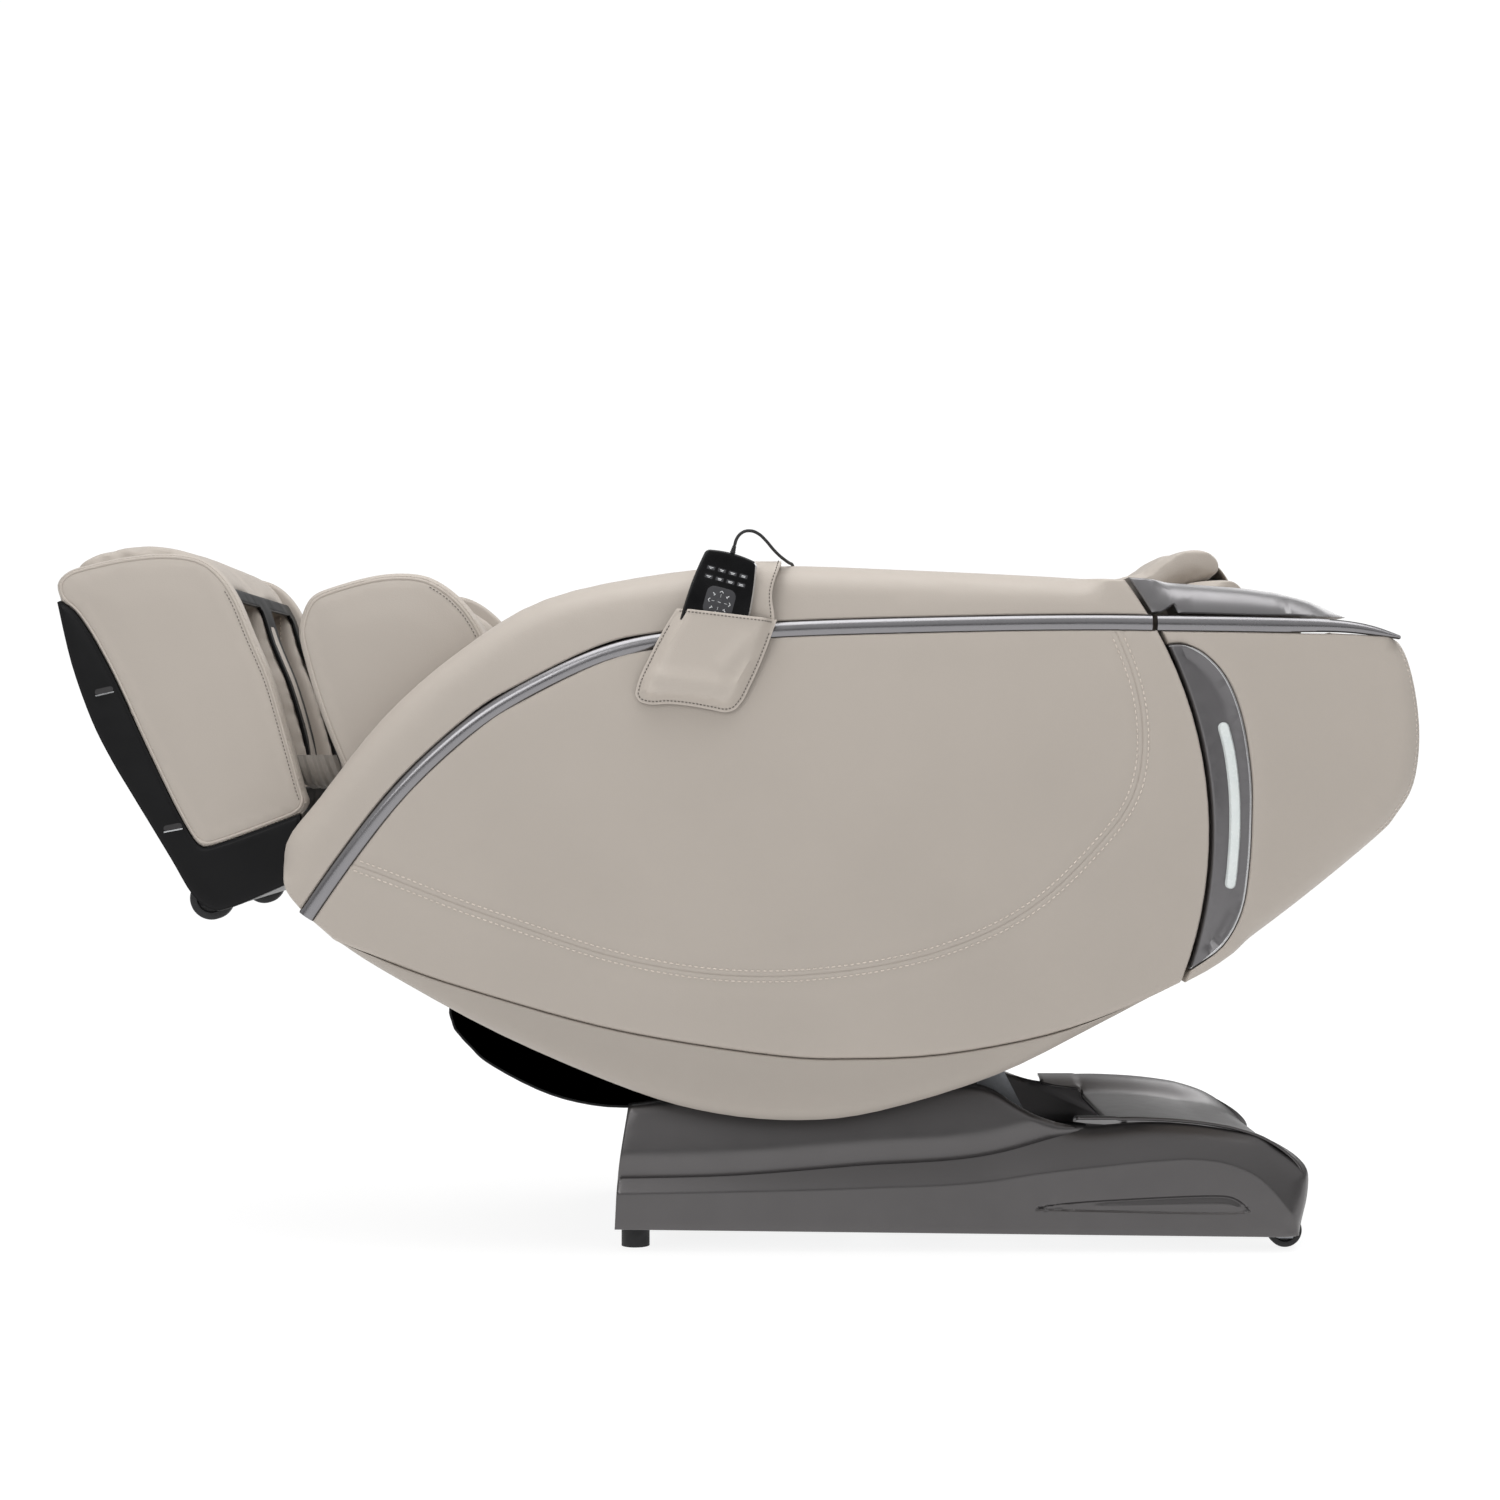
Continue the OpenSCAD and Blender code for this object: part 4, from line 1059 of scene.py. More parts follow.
def base_relief(points, _):
    """The leaning band, the fuller top above it, and the teardrop's sunken ring."""
    lower, upper = above(points, LOWER_CREASE), above(points, UPPER_CREASE)
    upper_z, lower_z = (np.interp(points[:, 0], *crease.T) for crease in (UPPER_CREASE, LOWER_CREASE))
    lean = np.clip(lower, 0, np.maximum(upper_z - lower_z, 0))
    rise = np.clip(upper, 0, None)
    relief = -CHAMFER * (np.sqrt(lean**2 + 0.003**2) - 0.003)
    relief += 0.013 * (1 - np.exp(-rise / 0.012)) - 0.22 * np.clip(rise - 0.035, 0, None)
    depth = np.where(inside(points, TEARDROP), distance(points, TEARDROP_EDGE), 0)
    return relief - step_up(depth, 0, 0.003, 0.003) + step_up(depth, 0.0065, 0.0095, 0.0018)


def build_base_cover():
    loop = face_outline("base_side_cover_left")
    sizes = rounding([(lambda p, n: n[0] > 0.45 and p[0] > 0.70, (0.030, 0.028)),
                      (lambda p, n: n[1] > 0.2 and p[0] > 0.45, (0.022, 0.014)),
                      (lambda p, n: n[1] > 0.2, (0.010, 0.008))], (0.004, 0.003))
    cover = Cover(loop, lambda p: np.full(len(p), BASE_HALF), sizes, base_relief)
    lines = [(UPPER_CREASE, [0, 0.0015, -0.0015, 0.004, 0.008, 0.013, 0.02]),
             (LOWER_CREASE, [0, 0.0018, -0.0018, 0.004, -0.004]),
             (TEARDROP_EDGE, [-0.0002, -0.0015, -0.003, -0.0065, -0.0095, 0.002])]
    return cover_piece("base_cover_left", cover, BASE_IN, gunmetal, step=0.009, back_round=0.010,
                       lines=lines)


def applied(piece):
    """Turns a piece's modifiers into its mesh."""
    graph = bpy.context.evaluated_depsgraph_get()
    mesh = bpy.data.meshes.new_from_object(piece.evaluated_get(graph))
    piece.modifiers.clear()
    piece.data = mesh
    return piece


def solidified(piece, thickness, offset=-1.0):
    """Gives a sheet a thickness: inwards at offset -1, outwards at 1."""
    modifier = piece.modifiers.new("thickness", "SOLIDIFY")
    modifier.thickness = thickness
    modifier.offset = offset
    return piece


def open_sheet(name, rows, material, thickness=0.002, skip=lambda centre: False, offset=-1.0):
    """A sheet with a thickness over a grid of points, less the cells that skip says."""
    rows = np.asarray(rows, float)
    points = rows.reshape(-1, 3)
    faces = [f for f in grid_faces(rows.shape[0], rows.shape[1]) if not skip(points[list(f)].mean(0))]
    mesh = bpy.data.meshes.new(name)
    mesh.from_pydata([tuple(p) for p in points], [], faces)
    work = bmesh.new()
    work.from_mesh(mesh)
    loose = [v for v in work.verts if not v.link_faces]
    bmesh.ops.delete(work, geom=loose, context="VERTS")
    work.to_mesh(mesh)
    work.free()
    mesh.shade_smooth()
    mesh.materials.append(material)
    return solidified(linked(name, mesh), thickness, offset)


def ridge(y):
    """How far the deck stands over its own line: a hollow between two ridges."""
    return step_up(abs(y), 0.165, 0.238, 0.0215) - 0.012


def build_deck():
    """The deck between the side covers: it rises to the ridges and turns down at the rear."""
    line = spaced(max(long_sides(section(CENTRE_COVERS, 0.0)[0]), key=lambda side: side[:, 1].mean()), STEP)
    inlet_low, inlet_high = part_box("power_inlet")
    ys = sorted([*np.linspace(-CENTRE_HALF, CENTRE_HALF, 61), inlet_low.y, inlet_high.y])
    front = line[0]
    rows = []
    for shift in np.linspace(-0.060, 0, 12)[:-1]:      # the ridges run further to the front
        rows.append([(front[0] + shift * step_up(abs(y), 0.188, 0.206, 1.0), y, front[1] + 0.001 + ridge(y))
                     for y in ys])
    for x, z in line:
        fade = np.interp(x, [0.70, 0.80], [1, 0.2])
        rows.append([(x, y, z + fade * ridge(y)) for y in ys])

    def at_inlet(c):
        high_enough = inlet_low.z - 0.002 < c[2] < inlet_high.z + 0.003
        return c[0] > 0.77 and inlet_low.y < c[1] < inlet_high.y and high_enough

    return open_sheet("base_deck", rows, gunmetal, 0.004, at_inlet)


def build_deck_slot():
    """A narrow slot on the inner slope of the deck, drawn as a thin dark inlay: painted shade of the slot's hollow.
    """
    line = spaced([(0.555, 0.168), (0.583, 0.168), (0.649, 0.164), (0.666, 0.162)], STEP)
    edges = ((0.1865, -0.001), (0.1865, 0.0006), (0.1925, 0.0006), (0.1925, -0.001))
    rows = [[(x, -y, z + ridge(y) + lift) for y, lift in edges] for x, z in line]
    return loft("base_deck_slot_left", rows, gap_painted_shade)


def bar(name, loop, half, material, end_round=0.004, step=STEP, creases=(), dents=()):
    """A shape that runs across the chair, with its ends rounded. creases are |y| of lengthwise
    seams and dents are points (x, z) of crosswise ones."""
    edge = outline(loop, step)
    along = directions(edge, closed=True)
    inward = np.column_stack([-along[:, 1], along[:, 0]])
    for dent in dents:
        edge = edge - inward * groove(np.linalg.norm(edge - dent, axis=1), 0.003, 0.0022)[:, None]
    ends = [(-half + end_round * (1 - math.cos(a)), end_round * (1 - math.sin(a))) for a in WALL_ANGLES]
    ends += [(y, 0.0) for y in np.linspace(-half + end_round, 0, 5)[1:-1]]
    for crease in creases:
        ends += [(-crease + d, -float(groove(np.array(abs(d)), 0.0022, 0.002)))
                 for d in (-0.005, -0.003, -0.0015, 0, 0.0015, 0.003, 0.005)]
    ends = sorted(ends)
    stations = ends + [(0.0, 0.0)] + [(-y, inset) for y, inset in reversed(ends)]
    rows = [[(x, y, z) for x, z in edge + inward * inset] for y, inset in stations]
    return loft(name, rows, material, math.radians(35))


def wheel(name, node):
    """A moulded wheel with a grooved tyre and a dished hub, where the CAD wheel is."""
    low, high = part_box(node)
    centre, radius = (low + high) / 2, (high.z - low.z) / 2
    half = (high.y - low.y) / 2
    # From the bore over the hub and tyre to the groove, as (distance from the middle, radius)
    side = [(half - 0.001, 0.0055), (half - 0.001, radius * 0.30), (half - 0.004, radius * 0.36),
            (half - 0.004, radius * 0.62), (half - 0.0005, radius * 0.68), (half, radius * 0.80),
            (half - 0.001, radius * 0.95), (half - 0.0025, radius), (half * 0.2, radius),
            (half * 0.12, radius - 0.0012)]
    profile = [(-y, r) for y, r in side] + side[::-1]
    turns = np.linspace(0, 2 * math.pi, 56, endpoint=False)
    points = [(centre.x + r * math.cos(a), centre.y + y, centre.z + r * math.sin(a))
              for y, r in profile for a in turns]
    return add_piece(name, points, grid_faces(len(profile), len(turns), wrap_rows=True, wrap_columns=True),
                     rubber_black, math.radians(30))


def dome(name, place, radius, height, material, normal):
    """A small round cap or screw head."""
    turn = Vector(normal).to_track_quat("Z", "Y").to_matrix()
    rings = [(radius, 0), (radius, height * 0.4), (radius * 0.86, height * 0.85), (radius * 0.5, height)]
    angles = np.linspace(0, 2 * math.pi, 20, endpoint=False)
    rows = [[Vector(place) + turn @ Vector((r * math.cos(a), r * math.sin(a), h)) for a in angles]
            for r, h in rings]
    return loft(name, rows, material, math.radians(50))


placed_twice(build_base_cover(), "base", "gunmetal", "base_side_cover_left")
placed(build_deck(), "base", "gunmetal", CENTRE_COVERS)
placed_twice(build_deck_slot(), "base", "gunmetal", CENTRE_COVERS)
front_wall = section(CENTRE_COVERS, 0.0)[1]
placed(bar("base_front_wall", front_wall, CENTRE_HALF, gunmetal, 0.002), "base", "gunmetal", CENTRE_COVERS)
for side in ("left", "right"):
    for name, node in (("transport_wheel", "rear_wheel"), ("heel_wheel", "leg_wheel")):
        placed(wheel(f"{name}_{side}", f"{node}_{side}"), f"{node}_{side[0]}", "rubber", f"{node}_{side}")
for sign, side in ((-1, "left"), (1, "right")):
    for k, (x, z) in enumerate(((0.560, 0.1661), (0.700, 0.1551))):
        screw = dome(f"deck_screw_{side}_{k}", (x, sign * 0.200, z), 0.0045, 0.0018, black_gloss,
                     (0.1, -sign * 0.2, 1))
        placed(screw, "base", "gunmetal")


# ---------- handset, cord and pocket ----------
LEAN = math.radians(15)          # lean of the handset in its pocket
HANDSET_FOOT = (-0.048, 0.782)   # middle of its lower edge, x and z
HANDSET_LONG = 0.190
RELIEF_TIP = (HANDSET_FOOT[0] + 0.2044 * math.sin(LEAN), -0.408, HANDSET_FOOT[1] + 0.2044 * math.cos(LEAN))
# Over the armrest, down its inner face in a slack loop and up into the gland
CORD_ROUTE = [
    RELIEF_TIP, (RELIEF_TIP[0] + 0.002, -0.408, RELIEF_TIP[2] + 0.007), (0.011, -0.407, 0.993),
    (0.018, -0.404, 0.998), (0.028, -0.400, 0.999), (0.038, -0.394, 0.995), (0.048, -0.387, 0.986),
    (0.057, -0.378, 0.976), (0.066, -0.366, 0.968), (0.074, -0.350, 0.963), (0.079, -0.332, 0.961),
    (0.082, -0.314, 0.961), (0.084, -0.298, 0.961), (0.086, -0.286, 0.957), (0.087, -0.276, 0.949),
    (0.088, -0.266, 0.939), (0.089, -0.256, 0.928), (0.090, -0.248, 0.914), (0.091, -0.2456, 0.895),
    (0.092, -0.2456, 0.860), (0.093, -0.2456, 0.820), (0.096, -0.2456, 0.790), (0.102, -0.2456, 0.765),
    (0.114, -0.2456, 0.750), (0.129, -0.2456, 0.752), (0.138, -0.2456, 0.768), (0.143, -0.2456, 0.795),
    (0.146, -0.2456, 0.830), (0.148, -0.2456, 0.865), (0.149, -0.248, 0.892), (0.150, -0.256, 0.913),
    (0.150, -0.268, 0.926), (0.150, -0.285, 0.930)]
CORD_DIAMETER = 0.0044


def build_cord():
    route = spaced(np.array(CORD_ROUTE), 0.003)
    lead = tube("handset_lead", route, CORD_DIAMETER / 2, rubber_black, corners=12)
    return lead, route, float(np.linalg.norm(np.diff(route, axis=0), axis=1).sum())


def on_handset(x, z):
    """The frame's (x, z) of a point across (x) and along (z) the handset."""
    return np.array((HANDSET_FOOT[0] + x * math.cos(LEAN) + z * math.sin(LEAN),
                     HANDSET_FOOT[1] - x * math.sin(LEAN) + z * math.cos(LEAN)))


def rounded_box(width, height, radius, corners=5):
    """Outline of a rounded rectangle about the origin."""
    points = []
    for cx, cz, start in ((1, -1, -90), (1, 1, 0), (-1, 1, 90), (-1, -1, 180)):
        for k in range(corners):
            a = math.radians(start + 90 * k / (corners - 1))
            points.append((cx * (width / 2 - radius) + radius * math.cos(a),
                           cz * (height / 2 - radius) + radius * math.sin(a)))
    return np.array(points)


def join(name, shapes, material):
    """Several small lofts, each a list of (ring of (x, z), |y|), as one piece."""
    vertices, faces = [], []
    for rows in shapes:
        first, count = len(vertices), len(rows[0][0])
        for ring, out in rows:
            vertices += [(p[0], -out, p[1]) for p in ring]
        faces += grid_faces(len(rows), count, wrap_columns=True, first=first)
        faces += [tuple(range(first, first + count)),
                  tuple(first + len(rows) * count - 1 - i for i in range(count))]
    return add_piece(name, vertices, faces, material)


KEY_ROUND = 0.0007   # rounding of the keys' upper edges


def button(shape, x, z, back, face):
    """Rows of a small rounded block on the handset from |y| back to face."""
    size = max(shape[:, 0].max(), 0.002)

    def ring(shrink):
        return [on_handset(x + px * (1 - shrink / size), z + pz * (1 - shrink / size)) for px, pz in shape]

    return [(ring(0), back), (ring(0), face - KEY_ROUND), (ring(KEY_ROUND * 0.4), face - KEY_ROUND * 0.3),
            (ring(KEY_ROUND * 1.2), face)]


def gap_shade_ring(shape, x, z):
    """Rows of a flat matt black ring round a key, a hair proud of the handset's face: painted shade of the gap
    round the key.
    """
    ring = [on_handset(x + px, z + pz) for px, pz in shape]
    return [(ring, HANDSET_FACE - 0.0004), (ring, HANDSET_FACE + 0.00004)]


def mark(x, z, width, height, face, turn=0.0):
    """A thin printed bar standing 0.1 mm proud of a face."""
    c, s = math.cos(turn), math.sin(turn)
    corners = [(a * width / 2, b * height / 2) for a, b in ((-1, -1), (1, -1), (1, 1), (-1, 1))]
    ring = [on_handset(x + c * px - s * pz, z + s * px + c * pz) for px, pz in corners]
    return [(ring, face - 0.00008), (ring, face + 0.0001)]


HANDSET_BACK = -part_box("handset_body")[1].y
HANDSET_FACE = -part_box("handset_body")[0].y
KEY_FACE = -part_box("handset_keypad")[0].y
NAV_FACE = -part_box("handset_nav_pad")[0].y
KEY_ROWS = (HANDSET_LONG - 0.024, HANDSET_LONG - 0.036)
KEY_COLUMNS = 0.015 * np.arange(-1.5, 2)
KEYS = [(x, z) for z in KEY_ROWS for x in KEY_COLUMNS]
NAV_Z = HANDSET_LONG - 0.066
NAV_WIDTH = 0.040


def build_case():
    """The handset's gloss black body with its silver edge."""
    cover = Cover(face_outline("handset_body"), lambda p: np.full(len(p), HANDSET_FACE),
                  rounding([], (0.0035, 0.0035)), step=0.003)
    case = cover_piece("handset_case", cover, HANDSET_BACK, black_gloss, step=0.006, back_round=0.003)
    case.data.materials.append(silver_edge)
    for polygon in case.data.polygons:
        facing = polygon.normal.x - 0.25 * polygon.normal.z
        if -polygon.center.y < HANDSET_FACE - 0.0032 or facing > 0.35:
            polygon.material_index = 1
    return case


def build_key_marks():
    """A longer and a shorter bar on each key."""
    marks = []
    for row, z in enumerate(KEY_ROWS):
        for k, x in enumerate(KEY_COLUMNS):
            marks.append(mark(x, z + 0.0005, 0.0052 if k % 2 else 0.0062, 0.0008, KEY_FACE))
            marks.append(mark(x, z - 0.0011, 0.0022 + 0.001 * (row + k) % 2, 0.0006, KEY_FACE))
    return join("handset_key_marks", marks, key_print)


def build_pad_marks():
    """Four arrows and four corner signs round a dot."""
    marks = []
    for quarter in range(4):
        a = quarter * math.pi / 2
        b = a + math.pi / 4
        ahead, side = np.array((math.cos(a), math.sin(a))), np.array((math.sin(a), -math.cos(a)))
        slant = np.array((math.cos(b), math.sin(b)))
        bars = [(0.0143 * ahead + sign * 0.0012 * side, 0.0036, 0.0007, a + sign * math.radians(48))
                for sign in (-1, 1)]
        bars += [(0.0088 * ahead, 0.0042, 0.0004, a), (0.0135 * slant, 0.0042, 0.0009, b),
                 (0.0118 * slant, 0.0030, 0.0009, b + math.pi / 2)]
        marks += [mark(x, NAV_Z + z, width, height, NAV_FACE, turn) for (x, z), width, height, turn in bars]
    marks.append(mark(0, NAV_Z, 0.0036, 0.0006, NAV_FACE + 0.0005))
    return join("handset_pad_marks", marks, key_print)


def build_handset():
    """Case, painted shade round the keys and pad, keys and their marks, navigation pad and its marks."""
    key_back = HANDSET_FACE - 0.002
    key, key_gap_ring = rounded_box(0.011, 0.005, 0.0012), rounded_box(0.0126, 0.0066, 0.0012)
    pad_gap_ring = rounded_box(NAV_WIDTH + 0.0016, NAV_WIDTH + 0.0016, 0.0104)
    # Flat matt black rings round the keys and the pad: painted shade of the gaps round them
    wells = join("handset_key_gap_shade", [gap_shade_ring(key_gap_ring, x, z) for x, z in KEYS] + [gap_shade_ring(pad_gap_ring, 0, NAV_Z)],
                 black_satin)
    keys = join("handset_keys", [button(key, x, z, key_back, KEY_FACE) for x, z in KEYS], key_silicone)
    pad = join("handset_pad", [
        button(rounded_box(NAV_WIDTH, NAV_WIDTH, 0.010), 0, NAV_Z, key_back, NAV_FACE),
        button(rounded_box(0.010, 0.010, 0.005), 0, NAV_Z, NAV_FACE - 0.001, NAV_FACE + 0.0005)], key_silicone)
    return build_case(), wells, keys, build_key_marks(), pad, build_pad_marks()


def build_strain_relief():
    """Tapered sleeve with ribs where the cord leaves the handset."""
    low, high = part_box("handset_strain_relief")
    along = np.array((math.sin(LEAN), 0, math.cos(LEAN)))
    foot = on_handset(0, HANDSET_LONG - 0.001)
    start = np.array((foot[0], (low.y + high.y) / 2, foot[1]))
    places, sizes = [], []
    for k, at in enumerate(np.linspace(0, 0.0150, 31)):
        places.append(start + along * at)
        taper = np.interp(at, [0, 0.015], [0.0046, 0.0026])
        sizes.append(taper - (0.0007 if k % 5 in (3, 4) and k > 4 else 0))
    return tube("handset_relief", np.array(places), sizes, rubber_black, corners=18)


lead, lead_route, lead_length = build_cord()
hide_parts("handset_cord")
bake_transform(lead)
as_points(lead_route)
places = 2 * [("handset", "black_plastic", "handset_body")]
places += 2 * [("keys", "key_silicone", "handset_keypad")]
places += 2 * [("nav_key", "key_silicone", "handset_nav_pad")]
for piece, place in zip(build_handset(), places):
    placed(piece, *place)
placed(build_strain_relief(), "handset", "rubber", "handset_strain_relief")


POCKET_IN = -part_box("handset_pocket")[0].y - 0.022      # |y| of the pocket's back sheet
# The bag's seam: down its left side, along the bottom and up its right side
BAG_SEAM = spaced([
    (-0.0735, 0.8945), (-0.093, 0.863), (-0.110, 0.830), (-0.128, 0.787), (-0.1295, 0.778), (-0.124, 0.769),
    (-0.112, 0.765), (-0.085, 0.7655), (-0.055, 0.7625), (-0.022, 0.7565), (-0.008, 0.754), (0.004, 0.757),
    (0.013, 0.766), (0.026, 0.790), (0.041, 0.823), (0.062, 0.879)], 0.004)


BAG_MOUTH = spaced([(0.062, 0.879), (0.030, 0.8825), (-0.020, 0.8885), (-0.0735, 0.8945)], STEP)
# Soft folds: where each starts and ends, its width and its height
BAG_FOLDS = (
    ((-0.105, 0.792), (-0.010, 0.778), 0.008, -0.0022), ((-0.085, 0.800), (-0.020, 0.792), 0.012, 0.0042),
    ((0.050, 0.866), (0.004, 0.806), 0.008, -0.0030), ((0.020, 0.852), (-0.012, 0.818), 0.010, 0.0026),
    ((-0.086, 0.872), (-0.098, 0.820), 0.008, -0.0032), ((-0.030, 0.884), (0.050, 0.878), 0.008, 0.0016))


def bag_face(points):
    """The bag stands off its seam, over the handset, with soft folds."""
    gap = distance(points, BAG_SEAM)
    out = POCKET_IN + 0.0035 + step_up(gap, 0.0030, 0.0185, 0.0185)
    for start, end, width, height in BAG_FOLDS:
        away = distance(points, np.array((start, end)))
        out = out + height * np.exp(-(away / width)**2) * step_up(gap, 0.004, 0.016, 1)
    return out


def build_bag():
    """The pocket's bag, open at its mouth, and its two rows of stitches."""
    loop = np.vstack([BAG_SEAM, BAG_MOUTH[1:-1]])
    cover = Cover(counter_clockwise(loop), bag_face, rounding([], (0.0015, 0.0008)), step=0.004)
    inner = beside(BAG_SEAM, 0.0042)
    mouth = spaced([(0.055, 0.8758), (0.030, 0.8785), (-0.020, 0.8845), (-0.0700, 0.8905)], 0.004)
    bag = cover_piece("pocket_bag", cover, POCKET_IN, leather_pocket, step=0.006, back_round=0.0008,
                      lines=[(inner, [0, 0.0015, -0.0015]), (mouth, [0, 0.0015, -0.0015])])
    # Open the mouth: take off the back and the wall along the mouth, then give it a thickness
    mesh = bmesh.new()
    mesh.from_mesh(bag.data)
    walls = [f for f in mesh.faces if len(f.verts) > 4 or abs(f.normal.y) < 0.35 and len(f.verts) == 4
             and f.calc_center_median().z > 0.877]
    bmesh.ops.delete(mesh, geom=walls, context="FACES")
    mesh.to_mesh(bag.data)
    mesh.free()
    solidified(bag, 0.0018)
    rows = [cover.lifted(inner[6:-4], 0.0003), cover.lifted(mouth, 0.0003)]
    return bag, stitches("pocket_bag_stitches", rows, thread_dark, 0.0007, 0.0032, 0.0050)


def build_flap():
    """The pocket's back sheet: up behind the handset, over the armrest's edge, as a strap."""
    arm_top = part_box("armrest_left")[1].z
    # (|y| beyond the back sheet, z, left x, right x) from the bag's foot up and over the armrest
    stations = [
        (0.001, 0.768, -0.118, 0.010), (0.001, 0.800, -0.118, 0.028), (0.001, 0.840, -0.102, 0.045),
        (0.001, 0.876, -0.083, 0.058), (0.001, 0.892, -0.060, 0.0575), (0, 0.905, -0.052, 0.0555),
        (-0.0005, 0.920, -0.046, 0.0560), (-0.002, 0.934, -0.042, 0.0595), (-0.007, 0.946, -0.040, 0.0640),
        (-0.016, 0.9545, -0.040, 0.0670), (-0.030, arm_top + 0.0012, -0.040, 0.0680),
        (-0.055, arm_top + 0.0022, -0.040, 0.0685), (-0.080, arm_top + 0.0022, -0.040, 0.0685),
        (-0.0975, arm_top + 0.0018, -0.040, 0.0685)]
    rows = []
    for beyond, z, left, right in spaced(stations, STEP):
        rows.append([(left + share * (right - left),
                      -(POCKET_IN + beyond + 0.0012 * math.sin(6 * share + 30 * z) * (z > 0.88)), z)
                     for share in np.linspace(0, 1, 23)])
    flap = open_sheet("pocket_flap", rows, leather_pocket, 0.0018, offset=1.0)
    strap = np.array(rows)[12:-2]
    inward = strap[:, -2] - strap[:, -1]
    edge = strap[:, -1] + 0.8 * inward
    normal = np.cross(np.gradient(edge, axis=0), inward)
    normal *= np.sign(normal[:, 2:3] - normal[:, 1:2])
    lifted = edge + 0.002 * normal / np.linalg.norm(normal, axis=1)[:, None]
    return flap, stitches("pocket_flap_stitches", [(lifted, normal)], thread_dark, 0.0007, 0.0032, 0.0050)


bag, bag_rows = build_bag()
flap, flap_rows = build_flap()
for one in (applied(bag), bag_rows, applied(flap), flap_rows):
    placed(one, "seat", "cushion_leather", "handset_pocket")


# ---------- soft pieces from the frame's plain solids ----------
def coordinates(mesh):
    places = np.empty(len(mesh.vertices) * 3)
    mesh.vertices.foreach_get("co", places)
    return places.reshape(-1, 3)


def set_coordinates(mesh, places):
    mesh.vertices.foreach_set("co", np.asarray(places, float).ravel())
    mesh.update()


def vertex_normals(mesh):
    return np.array([v.normal for v in mesh.vertices])


def relaxed(mesh, rounds, share=0.5):
    """Evens out a mesh by moving each vertex towards the middle of its neighbours."""
    places = coordinates(mesh)
    pairs = np.array([tuple(e.vertices) for e in mesh.edges])
    count = np.bincount(pairs.ravel(), minlength=len(places))[:, None]
    for _ in range(rounds):
        total = np.zeros_like(places)
        for k in range(3):
            total[:, k] = (np.bincount(pairs[:, 0], places[pairs[:, 1], k], len(places))
                           + np.bincount(pairs[:, 1], places[pairs[:, 0], k], len(places)))
        places += share * (total / np.maximum(count, 1) - places)
    set_coordinates(mesh, places)


SWELL_FRAMES = 14


def inflate(piece, pressure, cap, give):
    """Swells a piece by cloth simulation, no vertex further than cap. give says how freely
    points move, from 0 to 1."""
    rest = coordinates(piece.data)
    cloth = piece.modifiers.new("swell", "CLOTH")
    settings = cloth.settings
    settings.quality = 3
    settings.use_pressure = True
    settings.uniform_pressure_force = pressure
    settings.effector_weights.gravity = 0
    settings.bending_stiffness = 0.4
    cloth.point_cache.frame_start = 1
    cloth.point_cache.frame_end = SWELL_FRAMES
    for number in range(1, SWELL_FRAMES + 1):
        scene.frame_set(number)
    applied(piece)
    scene.frame_set(1)
    moved = coordinates(piece.data) - rest
    length = np.linalg.norm(moved, axis=1)[:, None]
    moved *= np.minimum(1, cap / np.maximum(length, 1e-9))
    if give:
        moved *= give(rest)[:, None]
    set_coordinates(piece.data, rest + moved)
    relaxed(piece.data, 2, 0.4)


def near_line(places, line, reach=0.03):
    """Distance of points in space to a line's points, where it is under reach, else 1."""
    gap = np.ones(len(places))
    if len(line):
        near = np.flatnonzero(((places > line.min(0) - reach) & (places < line.max(0) + reach)).all(1))
        for part in np.array_split(near, max(1, len(near) // 2000)):
            gap[part] = np.linalg.norm(places[part, None] - line[None], axis=2).min(1)
    return gap


def laid(piece, lines, lift=0.0):
    """Lines dropped on a piece, each along its direction, with the normals where they land."""
    polygons = [tuple(p.vertices) for p in piece.data.polygons]
    tree = BVHTree.FromPolygons([v.co for v in piece.data.vertices], polygons)
    rows = []
    for line, direction in lines:
        hits = [tree.ray_cast(Vector(p), Vector(direction)) for p in spaced(np.array(line, float), 0.004)]
        hits = [(place + lift * normal, normal) for place, normal, _, _ in hits if place is not None]
        if len(hits) > 3:
            rows.append((np.array([h[0] for h in hits]), np.array([h[1] for h in hits])))
    return rows


DOWN = (0, 0, -1)


def soft_piece(name, node, seams, voxel=0.006, shrink=0.006, rounds=8, pressure=4, cap=0.012,
               give=None, seam_depth=0.004):
    """A stuffed piece in the place of a plain CAD solid. Each seam is a line in space and the
    direction in which it falls on the piece, where it is drawn in and sewn."""
    mesh = bpy.data.meshes.new(name)
    work = welded(node)
    work.to_mesh(mesh)
    work.free()
    piece = linked(name, mesh)
    remesh = piece.modifiers.new("voxels", "REMESH")
    remesh.mode = "VOXEL"
    remesh.voxel_size = voxel
    applied(piece)
    relaxed(piece.data, rounds)
    set_coordinates(piece.data, coordinates(piece.data) - shrink * vertex_normals(piece.data))
    inflate(piece, pressure, cap, give)
    places = laid(piece, seams)
    fine = piece.modifiers.new("fine", "SUBSURF")
    fine.levels = 1
    applied(piece)
    for seam, _ in places:
        gap = near_line(coordinates(piece.data), seam)
        pull = groove(gap, 0.0035, seam_depth) + groove(gap, 0.014, seam_depth * 0.8)
        set_coordinates(piece.data, coordinates(piece.data) + pull[:, None] * vertex_normals(piece.data))
    piece.data.materials.clear()
    piece.data.materials.append(leather_pad)
    piece.data.shade_smooth()
    body = nodes[node]["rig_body"]
    placed(piece, body, "cushion_leather", node)
    rows = stitches(name + "_stitches", laid(piece, seams, 0.0004), thread, 0.0008, 0.005, 0.008)
    placed(rows, body, "cushion_leather")


RECLINE = next(j["pos_m"] for j in frame["joints"] if j["name"] == "recline")
BACK_SLOPE = math.radians(21.5)


